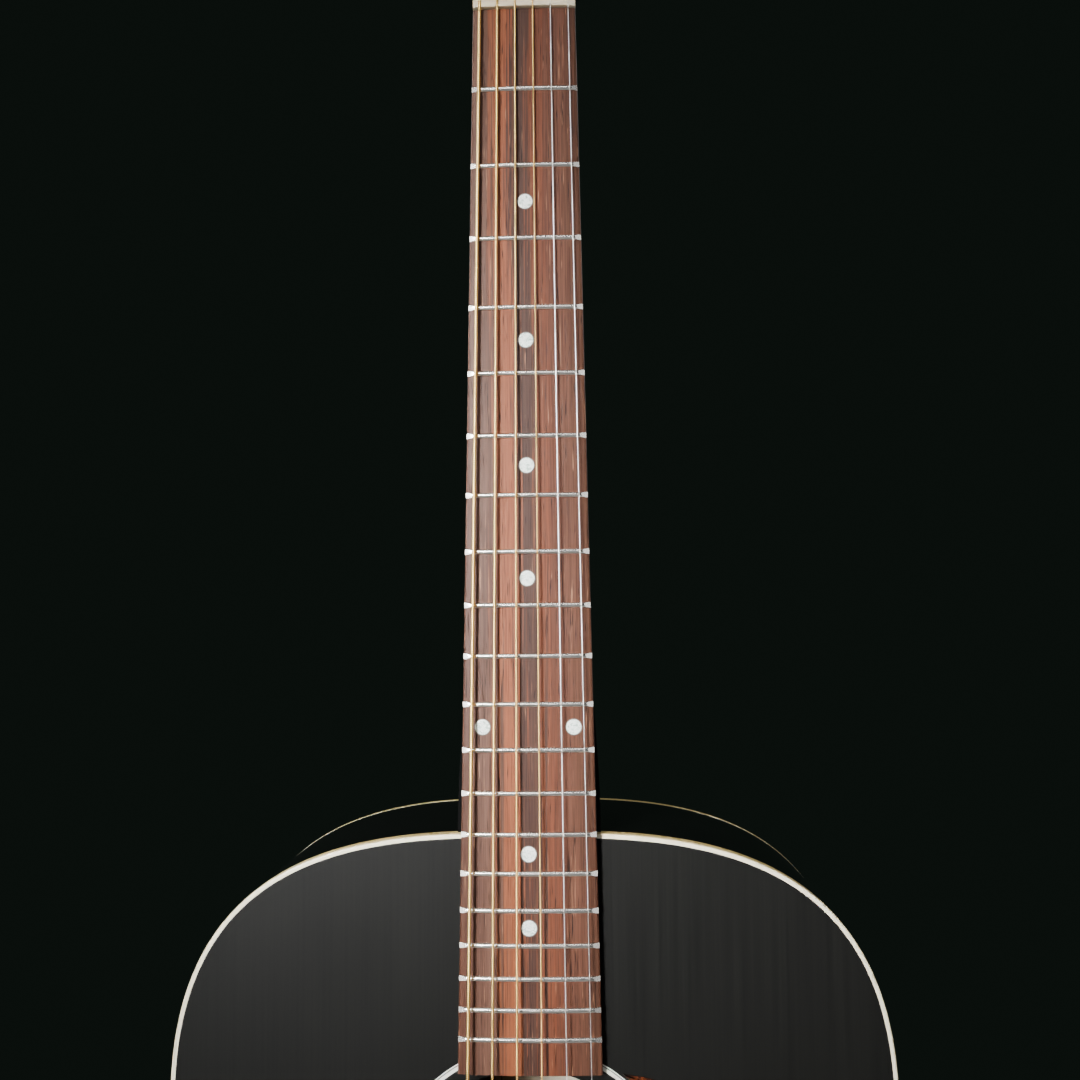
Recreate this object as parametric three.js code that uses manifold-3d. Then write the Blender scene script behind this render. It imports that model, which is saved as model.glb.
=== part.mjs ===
// A steel-string acoustic guitar with round shoulders, hung upright: neck up, front towards -Y.
// The origin is on the fingerboard's surface, at the middle of its end against the nut.
// +X is the treble side, +Y is towards the back and +Z runs up the neck. Lengths are millimetres.
import * as THREE from "three";
import { mergeVertices } from "three/addons/utils/BufferGeometryUtils.js";
import Module from "manifold-3d";

const wasm = await Module();
wasm.setup();

// ---- driving dimensions ----
const GAP = 0.3; // between pieces that touch
const FAR = 400; // past every part of the body, for cutting tools

const SCALE_LENGTH = 628.65;
const FRETS = 20;
const BOARD_RADIUS = 305; // camber of the fingerboard
const BOARD_THICKNESS = 6.5;
const BOARD_END = 444.7; // from the nut to the fingerboard's lower end
const NUT_WIDTH = 43.8;
const BOARD_TAPER = 0.034; // width gained per millimetre of length
const FRET_HEIGHT = 1.1;
const FRET_WIDTH = 2.3;

const BODY_LENGTH = 514;
const DEPTH_AT_NECK = 98.4;
const DEPTH_AT_TAIL = 122;
const BACK_RADIUS = 4570; // arch across the back
const UPPER_BOUT = { half: 149.2, down: 108 };
const WAIST = { half: 136.5, down: 204 };
const LOWER_BOUT = { half: 204, down: 372 };
const TOP_THICKNESS = 3;
const BACK_THICKNESS = 2.8;
const SIDE_THICKNESS = 2.4;
const BINDING_WIDTH = 2;
const TOP_BINDING_HEIGHT = 6;
const BACK_BINDING_HEIGHT = 4.6;
const LINING_WIDTH = 6;
const LINING_HEIGHT = 12;

const HOLE_RADIUS = 50.8;
const HOLE_CENTRE = -495.4;
const ROSETTE_INNER = 58.6;
const ROSETTE_OUTER = 60.9;
const ROSETTE_DEPTH = 0.7;

const NUT_THICKNESS = 4.9;
const STRING_SPAN_NUT = 37.7;
const STRING_SPAN_SADDLE = 54.8;
const STRING_DIAMETERS = [1.35, 1.07, 0.81, 0.61, 0.43, 0.33]; // bass to treble
const SADDLE_Z = -631.8;
const SADDLE_TOP = 5; // above the plane of the fingerboard
const NUT_TOP = 1.2; // underside of the strings above the same plane

const BRIDGE_TOP = 1.8; // above the plane of the fingerboard
const PIN_ROW = -646;
const PIN_SHANK = 2.5;
const PIN_HOLE = 3.1;

const HEAD_ANGLE = THREE.MathUtils.degToRad(17);
const HEAD_ORIGIN = new THREE.Vector3(0, 4.6, 6.1);
const HEAD_THICKNESS = 15;
const HEADPLATE_THICKNESS = 2;
const HEAD_LENGTH = 172;

const POST_X = 21;
const POST_ROWS = [40, 78, 116];
const POST_RADIUS = 3;
const POST_FRONT = -19;
const WINDING_DEPTH = -7; // where the string meets its post, in front of the headplate
const GEAR_TEETH = 15;
const GEAR_PITCH_RADIUS = 5.1;
const WORM_PITCH_RADIUS = 2.4;
const WORM_DEPTH = 19.9; // worm axis behind the headplate's face

// ---- derived places ----
const TOP_FACE = BOARD_THICKNESS; // y of the soundboard's front face
const JOINT_Z = -349; // the body's upper edge, at fret 14
const TAIL_Z = JOINT_Z - BODY_LENGTH;
const BACK_SLOPE = (DEPTH_AT_TAIL - DEPTH_AT_NECK) / BODY_LENGTH;
const LINING_INSET = SIDE_THICKNESS + GAP;
const CLEAR_INSET = LINING_INSET + LINING_WIDTH + GAP;
const BENEATH_TOP = TOP_FACE + TOP_THICKNESS + GAP;
const WITHIN_BACK = BACK_THICKNESS + GAP;
const CENTRE_DISTANCE = GEAR_PITCH_RADIUS + WORM_PITCH_RADIUS;
const WORM_PITCH = (2 * Math.PI * GEAR_PITCH_RADIUS) / GEAR_TEETH;

const fretZ = (n) => -SCALE_LENGTH * (1 - 2 ** (-n / 12));
const boardHalf = (z) => (NUT_WIDTH - BOARD_TAPER * z) / 2;
const camber = (x) => (x * x) / (2 * BOARD_RADIUS);

// ---- solids ----

// A closed geometry as a manifold solid, its faces turned outwards.
function solid(geometry) {
  const bare = geometry.clone();
  bare.deleteAttribute("normal");
  bare.deleteAttribute("uv");
  const merged = mergeVertices(bare, 1e-4);
  const triVerts = new Uint32Array(merged.index.array);
  const vertProperties = merged.attributes.position.array;
  const made = new wasm.Manifold(new wasm.Mesh({ numProp: 3, vertProperties, triVerts }));
  if (made.volume() > 0) return made;
  for (let i = 0; i < triVerts.length; i += 3) {
    [triVerts[i], triVerts[i + 1]] = [triVerts[i + 1], triVerts[i]];
  }
  return new wasm.Manifold(new wasm.Mesh({ numProp: 3, vertProperties, triVerts }));
}

function geometryOf(part) {
  const mesh = part.getMesh();
  const indexed = new THREE.BufferGeometry();
  indexed.setAttribute("position", new THREE.BufferAttribute(mesh.vertProperties, 3));
  indexed.setIndex(new THREE.BufferAttribute(mesh.triVerts, 1));
  const flat = indexed.toNonIndexed();
  flat.computeVertexNormals();
  return flat;
}

const join = (parts) => parts.reduce((whole, part) => whole.add(part));

// An axis-aligned block between two corners.
function block(x0, x1, y0, y1, z0, z1) {
  const geometry = new THREE.BoxGeometry(x1 - x0, y1 - y0, z1 - z0);
  return solid(geometry.translate((x0 + x1) / 2, (y0 + y1) / 2, (z0 + z1) / 2));
}

// A shape drawn in x and z, given a thickness from y0 to y1.
function slab(shape, y0, y1, curveSegments = 12) {
  const options = { depth: y1 - y0, bevelEnabled: false, curveSegments };
  const geometry = new THREE.ExtrudeGeometry(shape, options);
  return solid(geometry.rotateX(Math.PI / 2).translate(0, y1, 0));
}

// A shape drawn in x and y, stretched from z0 to z1.
function beam(shape, z0, z1, curveSegments = 12) {
  const options = { depth: z1 - z0, bevelEnabled: false, curveSegments };
  return solid(new THREE.ExtrudeGeometry(shape, options).translate(0, 0, z0));
}

// A round bar along y.
function barY(radius, x, z, y0, y1, sides = 24) {
  const geometry = new THREE.CylinderGeometry(radius, radius, y1 - y0, sides);
  return solid(geometry.translate(x, (y0 + y1) / 2, z));
}

function barX(radius, x0, x1, y, z, sides = 16) {
  const geometry = new THREE.CylinderGeometry(radius, radius, x1 - x0, sides);
  return solid(geometry.rotateZ(Math.PI / 2).translate((x0 + x1) / 2, y, z));
}

function barZ(radius, x, y, z0, z1, sides = 20) {
  const geometry = new THREE.CylinderGeometry(radius, radius, z1 - z0, sides);
  return solid(geometry.rotateX(Math.PI / 2).translate(x, y, (z0 + z1) / 2));
}

// A turned solid about y: its profile is pairs of radius and y, from axis to axis.
function turned(profile, segments = 20) {
  const points = profile.map(([radius, y]) => new THREE.Vector2(radius, y));
  return new THREE.LatheGeometry(points, segments);
}

// A skin over rings of points, closed by a fan at each end.
function loft(rings) {
  const count = rings[0].length;
  const positions = rings.flat().flatMap((p) => [p.x, p.y, p.z]);
  const index = [];
  for (let r = 0; r + 1 < rings.length; r += 1) {
    for (let i = 0; i < count; i += 1) {
      const a = r * count + i;
      const b = r * count + ((i + 1) % count);
      index.push(a, b, a + count, b, b + count, a + count);
    }
  }
  const last = (rings.length - 1) * count;
  for (let i = 1; i + 1 < count; i += 1) {
    index.push(0, i + 1, i);
    index.push(last, last + i, last + i + 1);
  }
  const geometry = new THREE.BufferGeometry();
  geometry.setAttribute("position", new THREE.Float32BufferAttribute(positions, 3));
  geometry.setIndex(index);
  return solid(geometry);
}

const guitar = new THREE.Group();
guitar.name = "guitar";

function paint(color, roughness, metalness = 0) {
  return new THREE.MeshStandardMaterial({ color, roughness, metalness });
}

const FINISH = {
  blackTop: () => paint(0x1d1d1b, 0.42),
  blackGloss: () => paint(0x0b0b0b, 0.12),
  binding: () => paint(0xe9d9a4, 0.35),
  spruce: () => paint(0xcfa873, 0.7),
  mahogany: () => paint(0x6d3d24, 0.6),
  rosewood: () => paint(0x4a2c20, 0.5),
  bone: () => paint(0xe6dcc2, 0.4),
  ivory: () => paint(0xe8e2d2, 0.35),
  tortoise: () => paint(0x2a120b, 0.15),
  nickel: () => paint(0xb9b7b0, 0.28, 1),
  brass: () => paint(0xb58d45, 0.35, 1),
  bronze: () => paint(0xb98a4c, 0.35, 1),
  steel: () => paint(0xc4c6c8, 0.25, 1),
};

function node(name, part, material, parent = guitar) {
  const geometry = part.isBufferGeometry ? part : geometryOf(part);
  const mesh = new THREE.Mesh(geometry, material);
  mesh.name = name;
  parent.add(mesh);
  return mesh;
}

// ---- body ----

// The outline of the body's treble half, from the neck joint down to the tail.
function halfOutline() {
  const path = new THREE.CurvePath();
  const at = (x, down) => new THREE.Vector2(x, JOINT_Z - down);
  const { half: u, down: uz } = UPPER_BOUT;
  const { half: w, down: wz } = WAIST;
  const { half: l, down: lz } = LOWER_BOUT;
  const curve = (a, b, c, d) => path.add(new THREE.CubicBezierCurve(a, b, c, d));
  curve(at(0, 0), at(54, 0), at(u, -2.8), at(u, uz));
  curve(at(u, uz), at(u, uz + 36), at(w, wz - 38), at(w, wz));
  curve(at(w, wz), at(w, wz + 51), at(l, lz - 88), at(l, lz));
  curve(at(l, lz), at(l, lz + 81), at(119, BODY_LENGTH), at(0, BODY_LENGTH));
  return path.curves;
}

const SEGMENT_STEPS = [12, 5, 8, 12];

// The body's outline drawn in x and z, moved inwards by an inset.
function bodyOutline(inset) {
  const right = [];
  halfOutline().forEach((curve, c) => {
    for (let i = 0; i < SEGMENT_STEPS[c]; i += 1) {
      const t = i / SEGMENT_STEPS[c];
      const tangent = curve.getTangent(t);
      const inwards = new THREE.Vector2(tangent.y, -tangent.x);
      right.push(curve.getPoint(t).addScaledVector(inwards, inset));
    }
  });
  right[0].x = 0;
  const tail = new THREE.Vector2(0, TAIL_Z + inset);
  const left = right.slice(1).reverse().map((p) => new THREE.Vector2(-p.x, p.y));
  return new THREE.Shape([...right, tail, ...left]);
}

const within = (inset, y0 = 0, y1 = 180) => slab(bodyOutline(inset), y0, y1);
const rim = (outer, inner, y0 = 0, y1 = 180) => within(outer, y0, y1).subtract(within(inner, -1, 181));

// Everything in front of the arched and sloping back, less a depth measured from its outer face.
function frontOfBack(depth) {
  const shape = new THREE.Shape();
  const arc = (x) => -(x * x) / (2 * BACK_RADIUS);
  const reach = 240;
  shape.moveTo(-reach, -FAR);
  shape.lineTo(reach, -FAR);
  for (let i = 0; i <= 16; i += 1) {
    const x = reach - (2 * reach * i) / 16;
    shape.lineTo(x, arc(x));
  }
  const options = { depth: 2 * FAR + 500, bevelEnabled: false };
  const geometry = new THREE.ExtrudeGeometry(shape, options).translate(0, 0, -FAR - 700);
  const y0 = TOP_FACE + DEPTH_AT_NECK - depth + BACK_SLOPE * JOINT_Z;
  const sloped = new THREE.Matrix4();
  sloped.set(1, 0, 0, 0, 0, 1, -BACK_SLOPE, y0, 0, 0, 1, 0, 0, 0, 0, 1);
  return solid(geometry.applyMatrix4(sloped));
}

const backLayer = (near, far) => frontOfBack(near).subtract(frontOfBack(far));
const treble = block(GAP / 2, FAR, -FAR, FAR, -2 * FAR - 200, FAR);
const bass = block(-FAR, -GAP / 2, -FAR, FAR, -2 * FAR - 200, FAR);

function disc(radius, z = HOLE_CENTRE) {
  const shape = new THREE.Shape();
  shape.absarc(0, z, radius, 0, 2 * Math.PI);
  return shape;
}

const END_PIN_Y = TOP_FACE + DEPTH_AT_TAIL / 2;
const END_PIN_SHANK = 5;
const endPinHole = barZ(END_PIN_SHANK + GAP, 0, END_PIN_Y, TAIL_Z - 5, TAIL_Z + 40);

function pinHoles(y0, y1) {
  return join(stringXs(STRING_SPAN_SADDLE).map((x) => barY(PIN_HOLE, x, PIN_ROW, y0, y1, 12)));
}

// The slot in front of each pin, which the string drops into.
function stringSlots(y0, y1) {
  const slots = stringXs(STRING_SPAN_SADDLE).map((x) => {
    return block(x - 1.2, x + 1.2, y0, y1, PIN_ROW, PIN_ROW + 4.8);
  });
  return join(slots);
}

function stringXs(span) {
  return STRING_DIAMETERS.map((_, i) => (i / (STRING_DIAMETERS.length - 1) - 0.5) * span);
}

function makeBody() {
  const top = within(BINDING_WIDTH + GAP, TOP_FACE, TOP_FACE + TOP_THICKNESS)
    .subtract(slab(disc(HOLE_RADIUS), 0, 20, 28))
    .subtract(
      slab(disc(ROSETTE_OUTER + GAP), 0, TOP_FACE + ROSETTE_DEPTH + GAP, 28).subtract(
        slab(disc(ROSETTE_INNER - GAP), -1, 20, 28),
      ),
    )
    .subtract(pinHoles(0, 20))
    .subtract(stringSlots(0, 20));
  node("soundboard", top, FINISH.blackTop());

  const ring = slab(disc(ROSETTE_OUTER), TOP_FACE, TOP_FACE + ROSETTE_DEPTH, 28);
  const ringHole = slab(disc(ROSETTE_INNER), 0, 20, 28);
  node("rosette", ring.subtract(ringHole), FINISH.ivory());

  const bindingEnd = TOP_FACE + TOP_BINDING_HEIGHT;
  node("top_binding", rim(0, BINDING_WIDTH, TOP_FACE, bindingEnd), FINISH.binding());
  const backEdge = rim(0, BINDING_WIDTH).intersect(backLayer(0, BACK_BINDING_HEIGHT));
  node("back_binding", backEdge, FINISH.binding());

  const back = within(BINDING_WIDTH + GAP).intersect(backLayer(0, BACK_THICKNESS));
  node("back_plate", back, FINISH.blackGloss());

  const sides = rim(0, SIDE_THICKNESS, bindingEnd + GAP, 180)
    .intersect(frontOfBack(BACK_BINDING_HEIGHT + GAP))
    .subtract(endPinHole);
  node("side_bass", sides.intersect(bass), FINISH.blackGloss());
  node("side_treble", sides.intersect(treble), FINISH.blackGloss());

  const liningEnd = LINING_INSET + LINING_WIDTH;
  const topLining = rim(LINING_INSET, liningEnd, BENEATH_TOP, BENEATH_TOP + LINING_HEIGHT);
  node("top_lining", topLining, FINISH.mahogany());
  const liningLayer = backLayer(WITHIN_BACK, WITHIN_BACK + LINING_HEIGHT);
  node("back_lining", rim(LINING_INSET, liningEnd).intersect(liningLayer), FINISH.mahogany());

  // The blocks reach the sides and are rebated round both linings.
  const rebate = rim(0, liningEnd + GAP, 0, BENEATH_TOP + LINING_HEIGHT + GAP).add(
    rim(0, liningEnd + GAP).subtract(frontOfBack(WITHIN_BACK + LINING_HEIGHT + GAP)),
  );
  const inside = within(LINING_INSET, BENEATH_TOP, 180)
    .intersect(frontOfBack(WITHIN_BACK))
    .subtract(rebate)
    .subtract(endPinHole);
  const neckBlock = block(-38, 38, 0, 180, JOINT_Z - 58, JOINT_Z);
  node("neck_block", inside.intersect(neckBlock), FINISH.mahogany());
  const tailBlock = block(-42, 42, 0, 180, TAIL_Z, TAIL_Z + 28);
  node("tail_block", inside.intersect(tailBlock), FINISH.mahogany());
}

// A straight brace under the soundboard, with ends that taper, from one point to another.
function topBrace(from, to, width, height) {
  const length = Math.hypot(to[0] - from[0], to[1] - from[1]);
  const taper = Math.min(45, length / 3);
  const shape = new THREE.Shape();
  shape.moveTo(0, 0);
  shape.lineTo(length, 0);
  shape.lineTo(length, height * 0.35);
  shape.lineTo(length - taper, height);
  shape.lineTo(taper, height);
  shape.lineTo(0, height * 0.35);
  const geometry = new THREE.ExtrudeGeometry(shape, { depth: width, bevelEnabled: false });
  geometry.translate(0, 0, -width / 2);
  geometry.rotateY(-Math.atan2(to[1] - from[1], to[0] - from[0]));
  geometry.translate(from[0], BENEATH_TOP, from[1]);
  return solid(geometry).intersect(within(CLEAR_INSET));
}

const X_CENTRE = -577;
const X_ANGLE = THREE.MathUtils.degToRad(49);
const X_HEIGHT = 14;
const X_WIDTH = 7.5;

// One leg of the X, leaning to one side; its notch lets the other leg through.
function xBrace(lean, extraWidth = 0) {
  const run = (length) => {
    const x = lean * length * Math.sin(X_ANGLE);
    return [x, X_CENTRE + length * Math.cos(X_ANGLE)];
  };
  return topBrace(run(-265), run(185), X_WIDTH + 2 * extraWidth, X_HEIGHT);
}

const CENTRE_STRIP = { half: 8, thickness: 1.8 };
const BACK_BRACES = [
  { down: 82, width: 8, height: 14 },
  { down: 168, width: 8, height: 14 },
  { down: 282, width: 15, height: 9 },
  { down: 400, width: 15, height: 9 },
];

function makeBraces() {
  const centre = [-30, 30, X_CENTRE - 30, X_CENTRE + 30];
  const half = BENEATH_TOP + X_HEIGHT / 2;
  const box = (y0, y1) => block(centre[0], centre[1], y0, y1, centre[2], centre[3]);
  const bassNotch = xBrace(1, GAP).intersect(box(0, half + GAP / 2));
  const trebleNotch = xBrace(-1, GAP).intersect(box(half - GAP / 2, 60));
  node("x_brace_bass", xBrace(-1).subtract(bassNotch), FINISH.spruce());
  node("x_brace_treble", xBrace(1).subtract(trebleNotch), FINISH.spruce());
  const transverse = topBrace([-150, -426], [150, -426], 10, 15);
  node("upper_transverse_brace", transverse, FINISH.spruce());
  node("tone_bar_upper", topBrace([74, -672], [-106, -756], 7, 11), FINISH.spruce());
  node("tone_bar_lower", topBrace([90, -722], [-78, -803], 7, 10), FINISH.spruce());

  const plate = block(-50, 50, BENEATH_TOP, BENEATH_TOP + 2.5, -664, -629)
    .subtract(pinHoles(0, 20))
    .subtract(stringSlots(0, 20));
  node("bridge_plate", plate, FINISH.mahogany());

  const strip = (grow) => {
    const { half: h, thickness } = CENTRE_STRIP;
    const layer = backLayer(WITHIN_BACK - grow, WITHIN_BACK + thickness + grow);
    return block(-h - grow, h + grow, 0, 180, TAIL_Z + 31, JOINT_Z - 62).intersect(layer);
  };
  node("back_center_strip", strip(0), FINISH.spruce());
  BACK_BRACES.forEach(({ down, width, height }, i) => {
    const z = JOINT_Z - down;
    const brace = within(CLEAR_INSET)
      .intersect(block(-FAR, FAR, 0, 180, z - width / 2, z + width / 2))
      .intersect(backLayer(WITHIN_BACK, WITHIN_BACK + height))
      .subtract(strip(GAP));
    node(`back_brace_${i + 1}`, brace, FINISH.spruce());
  });
}

function makePickguard() {
  const follow = ROSETTE_OUTER + 1.2;
  const start = THREE.MathUtils.degToRad(53);
  const end = THREE.MathUtils.degToRad(-50);
  const shape = new THREE.Shape();
  shape.absarc(0, HOLE_CENTRE, follow, start, end, true);
  const onArc = (a) => new THREE.Vector2(follow * Math.cos(a), HOLE_CENTRE + follow * Math.sin(a));
  const corner = onArc(end);
  const tip = onArc(start);
  shape.bezierCurveTo(corner.x + 6, corner.y - 22, 62, -611, 84, -611);
  shape.bezierCurveTo(110, -611, 121, -583, 111, -556);
  shape.bezierCurveTo(103, -532, 86, -490, 69, -462);
  shape.bezierCurveTo(60, -448, 47, -447, tip.x, tip.y);
  node("pickguard", slab(shape, TOP_FACE - GAP - 1.2, TOP_FACE - GAP, 10), FINISH.tortoise());
}

function makeEndPin() {
  const profile = [
    [0, 0],
    [4.4, 0],
    [END_PIN_SHANK, -24],
    [END_PIN_SHANK, -27.7],
    [8, -27.7],
    [8, -30],
    [5, -33.5],
    [5.2, -37],
    [8.6, -40],
    [8.6, -43],
    [6.5, -45],
    [0, -45],
  ];
  const geometry = turned(profile).rotateX(Math.PI / 2).translate(0, END_PIN_Y, TAIL_Z + 27.4);
  node("end_pin", solid(geometry), FINISH.ivory());
}

// ---- bridge ----

const SADDLE_SLANT = Math.atan(3.2 / 73);

// The saddle's blade, or with a margin the slot for it.
function saddleBlade(margin, top) {
  const half = 36.5 + margin;
  const shape = new THREE.Shape();
  shape.moveTo(-half, 3.2 + margin);
  for (let i = 0; i <= 12; i += 1) {
    const x = -half + (half * i) / 6;
    shape.lineTo(x, camber(x) - top);
  }
  shape.lineTo(half, 3.2 + margin);
  const thickness = 2.6 + 2 * margin;
  const geometry = new THREE.ExtrudeGeometry(shape, { depth: thickness, bevelEnabled: false });
  geometry.translate(0, 0, -thickness / 2).rotateY(-SADDLE_SLANT).translate(0, 0, SADDLE_Z);
  return solid(geometry);
}

function makeBridge() {
  const outline = new THREE.Shape();
  outline.moveTo(-76, -623);
  outline.quadraticCurveTo(-70, -620, -60, -620);
  outline.lineTo(60, -620);
  outline.quadraticCurveTo(70, -620, 76, -623);
  outline.lineTo(76, -648);
  outline.bezierCurveTo(60, -651, 50, -659, 0, -659);
  outline.bezierCurveTo(-50, -659, -60, -651, -76, -648);
  const under = TOP_FACE - GAP;
  const profile = new THREE.Shape();
  profile.moveTo(-80, under);
  profile.lineTo(-80, under - 3.2);
  profile.bezierCurveTo(-62, under - 3.4, -58, -BRIDGE_TOP, -46, -BRIDGE_TOP);
  profile.lineTo(46, -BRIDGE_TOP);
  profile.bezierCurveTo(58, -BRIDGE_TOP, 62, under - 3.4, 80, under - 3.2);
  profile.lineTo(80, under);
  const wood = slab(outline, -20, 20, 8)
    .intersect(beam(profile, -700, -600, 6))
    .subtract(pinHoles(-20, 20))
    .subtract(stringSlots(-20, 20))
    .subtract(saddleBlade(GAP, 20));
  node("bridge", wood, FINISH.rosewood());
  node("saddle", saddleBlade(0, SADDLE_TOP), FINISH.bone());

  const pinProfile = [
    [0, 20],
    [1.6, 20],
    [2.2, 19],
    [PIN_SHANK, -BRIDGE_TOP],
    [PIN_SHANK, -BRIDGE_TOP - 1.2],
    [3.9, -BRIDGE_TOP - 1.6],
    [3.9, -BRIDGE_TOP - 2.6],
    [2.6, -BRIDGE_TOP - 4.4],
    [0, -BRIDGE_TOP - 4.9],
  ];
  stringXs(STRING_SPAN_SADDLE).forEach((x, i) => {
    const pin = solid(turned(pinProfile, 12).translate(x, 0, PIN_ROW));
    node(`bridge_pin_${i + 1}`, pin, FINISH.ivory());
  });
}

// ---- neck ----

const toHead = new THREE.Matrix4()
  .makeRotationX(-HEAD_ANGLE)
  .setPosition(HEAD_ORIGIN.x, HEAD_ORIGIN.y, HEAD_ORIGIN.z);
const headPoint = (x, y, z) => new THREE.Vector3(x, y, z).applyMatrix4(toHead);
const inHead = (part) => solid(geometryOf(part).applyMatrix4(toHead));

// The headstock's outline: a flared foot, nearly straight edges and a low arched top.
function headOutline(foot) {
  const shape = new THREE.Shape();
  const nutHalf = NUT_WIDTH / 2;
  shape.moveTo(nutHalf, foot);
  shape.bezierCurveTo(nutHalf, foot + 13, 31, 13, 32, 26);
  shape.lineTo(36.5, HEAD_LENGTH - 20);
  shape.quadraticCurveTo(37, HEAD_LENGTH - 10, 29, HEAD_LENGTH - 7.5);
  shape.bezierCurveTo(16, HEAD_LENGTH, -16, HEAD_LENGTH, -29, HEAD_LENGTH - 7.5);
  shape.quadraticCurveTo(-37, HEAD_LENGTH - 10, -36.5, HEAD_LENGTH - 20);
  shape.lineTo(-32, 26);
  shape.bezierCurveTo(-31, 13, -nutHalf, foot + 13, -nutHalf, foot);
  return shape;
}

const rodPocket = () => block(-5.2, 5.2, -5, 11.8, 1.5, 24);
const ROD_Y = 13;

function postHoles(radius, y0, y1) {
  const holes = [-POST_X, POST_X].flatMap((x) => {
    return POST_ROWS.map((z) => barY(radius, x, z, y0, y1, 12));
  });
  return join(holes);
}

// The shaft's section at a height: flat in front, a rounded back.
function shaftRing(z) {
  const half = boardHalf(z);
  const depth = 15.4 + 2.8 * Math.min(1, -z / 300);
  const ring = [];
  for (let i = 0; i <= 14; i += 1) {
    const a = (Math.PI * i) / 14;
    const x = half * Math.sign(Math.cos(a)) * Math.abs(Math.cos(a)) ** 0.86;
    ring.push(new THREE.Vector3(x, TOP_FACE + depth * Math.sin(a) ** 0.86, z));
  }
  return ring;
}

const HEEL_BACK = 93;
const HEEL_FACE = JOINT_Z + GAP;

// The heel's level section at a depth: flat against the body, rounded towards the nut.
function heelRing(y) {
  const t = (y - TOP_FACE) / (HEEL_BACK - TOP_FACE);
  const half = 27.4 - 15.6 * t ** 0.8;
  const reach = 20 + 18 * (1 - t) + 44 * (1 - t) ** 6;
  const ring = [];
  for (let i = 0; i <= 12; i += 1) {
    const a = (Math.PI * i) / 12;
    ring.push(new THREE.Vector3(half * Math.cos(a), y, HEEL_FACE + reach * Math.sin(a)));
  }
  return ring;
}

function makeNeck() {
  const shaft = loft([9, 0, -100, -200, -300, HEEL_FACE].map(shaftRing));
  const heel = loft([8, 14, 20, 26, 33, 42, 54, 68, 82, HEEL_BACK].map(heelRing));
  const head = inHead(slab(headOutline(-3), HEADPLATE_THICKNESS + GAP, HEAD_THICKNESS, 8));
  const neck = shaft
    .add(heel)
    .add(head)
    .subtract(inHead(block(-90, 90, -60, HEADPLATE_THICKNESS + GAP, -GAP, 250)))
    .subtract(block(-90, 90, -60, TOP_FACE, -FAR, 5.3))
    .subtract(inHead(rodPocket()))
    .subtract(inHead(postHoles(3.5, -20, 30)))
    .subtract(block(-3.3, 3.3, 0, 17, -338, 8));
  node("neck", neck, FINISH.blackGloss());

  const cap = loft([HEEL_BACK + GAP, HEEL_BACK + GAP + 2.6].map((y) => {
    return heelRing(HEEL_BACK).map((p) => new THREE.Vector3(p.x, y, p.z));
  }));
  node("heel_cap", cap, FINISH.blackGloss());

  const rod = barZ(2.6, 0, ROD_Y, -335, 7.6, 12).add(barZ(2, 0, ROD_Y, 7, 15, 12));
  node("truss_rod", rod, FINISH.steel());
  const hexagon = barZ(3.6, 0, ROD_Y, 8, 16.5, 6).subtract(barZ(2.3, 0, ROD_Y, 7, 18, 16));
  node("truss_rod_nut", hexagon, FINISH.brass());
}

// The fingerboard's cambered face raised by some height, as everything behind it.
function behindCamber(raise, z0, z1) {
  const shape = new THREE.Shape();
  shape.moveTo(-40, 40);
  for (let i = 0; i <= 6; i += 1) {
    const x = -36 + 12 * i;
    shape.lineTo(x, camber(x) - raise);
  }
  shape.lineTo(40, 40);
  return beam(shape, z0, z1);
}

function makeFingerboard() {
  const top = -GAP / 2;
  const outline = new THREE.Shape();
  outline.moveTo(boardHalf(top), top);
  outline.lineTo(boardHalf(-BOARD_END), -BOARD_END);
  outline.lineTo(-boardHalf(-BOARD_END), -BOARD_END);
  outline.lineTo(-boardHalf(top), top);
  const blank = slab(outline, -5, TOP_FACE - GAP);
  let board = blank.intersect(behindCamber(0, -BOARD_END - 5, 5));
  for (let n = 1; n <= FRETS; n += 1) {
    const z = fretZ(n);
    const wire = behindCamber(FRET_HEIGHT, z - FRET_WIDTH / 2, z + FRET_WIDTH / 2);
    board = board.add(wire.intersect(blank));
  }
  node("fingerboard", board, FINISH.rosewood());
}

function makeNut() {
  const half = NUT_WIDTH / 2;
  const shape = new THREE.Shape();
  shape.moveTo(-half, TOP_FACE - GAP);
  for (let i = 0; i <= 10; i += 1) {
    const x = -half + (half * i) / 5;
    shape.lineTo(x, camber(x) - 2);
  }
  shape.lineTo(half, TOP_FACE - GAP);
  const slots = stringXs(STRING_SPAN_NUT).map((x, i) => {
    const width = STRING_DIAMETERS[i] / 2 + GAP;
    const floor = camber(x) - NUT_TOP + GAP;
    return block(x - width, x + width, -10, floor, -5, 10);
  });
  const blank = beam(shape, GAP, GAP + NUT_THICKNESS);
  node("nut", blank.subtract(join(slots)), FINISH.bone());
}

// ---- strings ----

// A route through given points, stepped from point to point.
class Route extends THREE.Curve {
  constructor(points) {
    super();
    this.points = points;
  }

  getPoint(t, target = new THREE.Vector3()) {
    const last = this.points.length - 1;
    const place = THREE.MathUtils.clamp(t, 0, 1) * last;
    const i = Math.min(Math.floor(place), last - 1);
    return target.lerpVectors(this.points[i], this.points[i + 1], place - i);
  }

  getPointAt(u, target) {
    return this.getPoint(u, target);
  }

  getTangentAt(u, target) {
    return this.getTangent(u, target);
  }
}

// Where string i meets its post: the three bass strings fill the bass side from the nut up.
function postOf(i) {
  const side = i < 3 ? -1 : 1;
  const row = POST_ROWS[i < 3 ? i : 5 - i];
  return { side, row };
}

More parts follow.
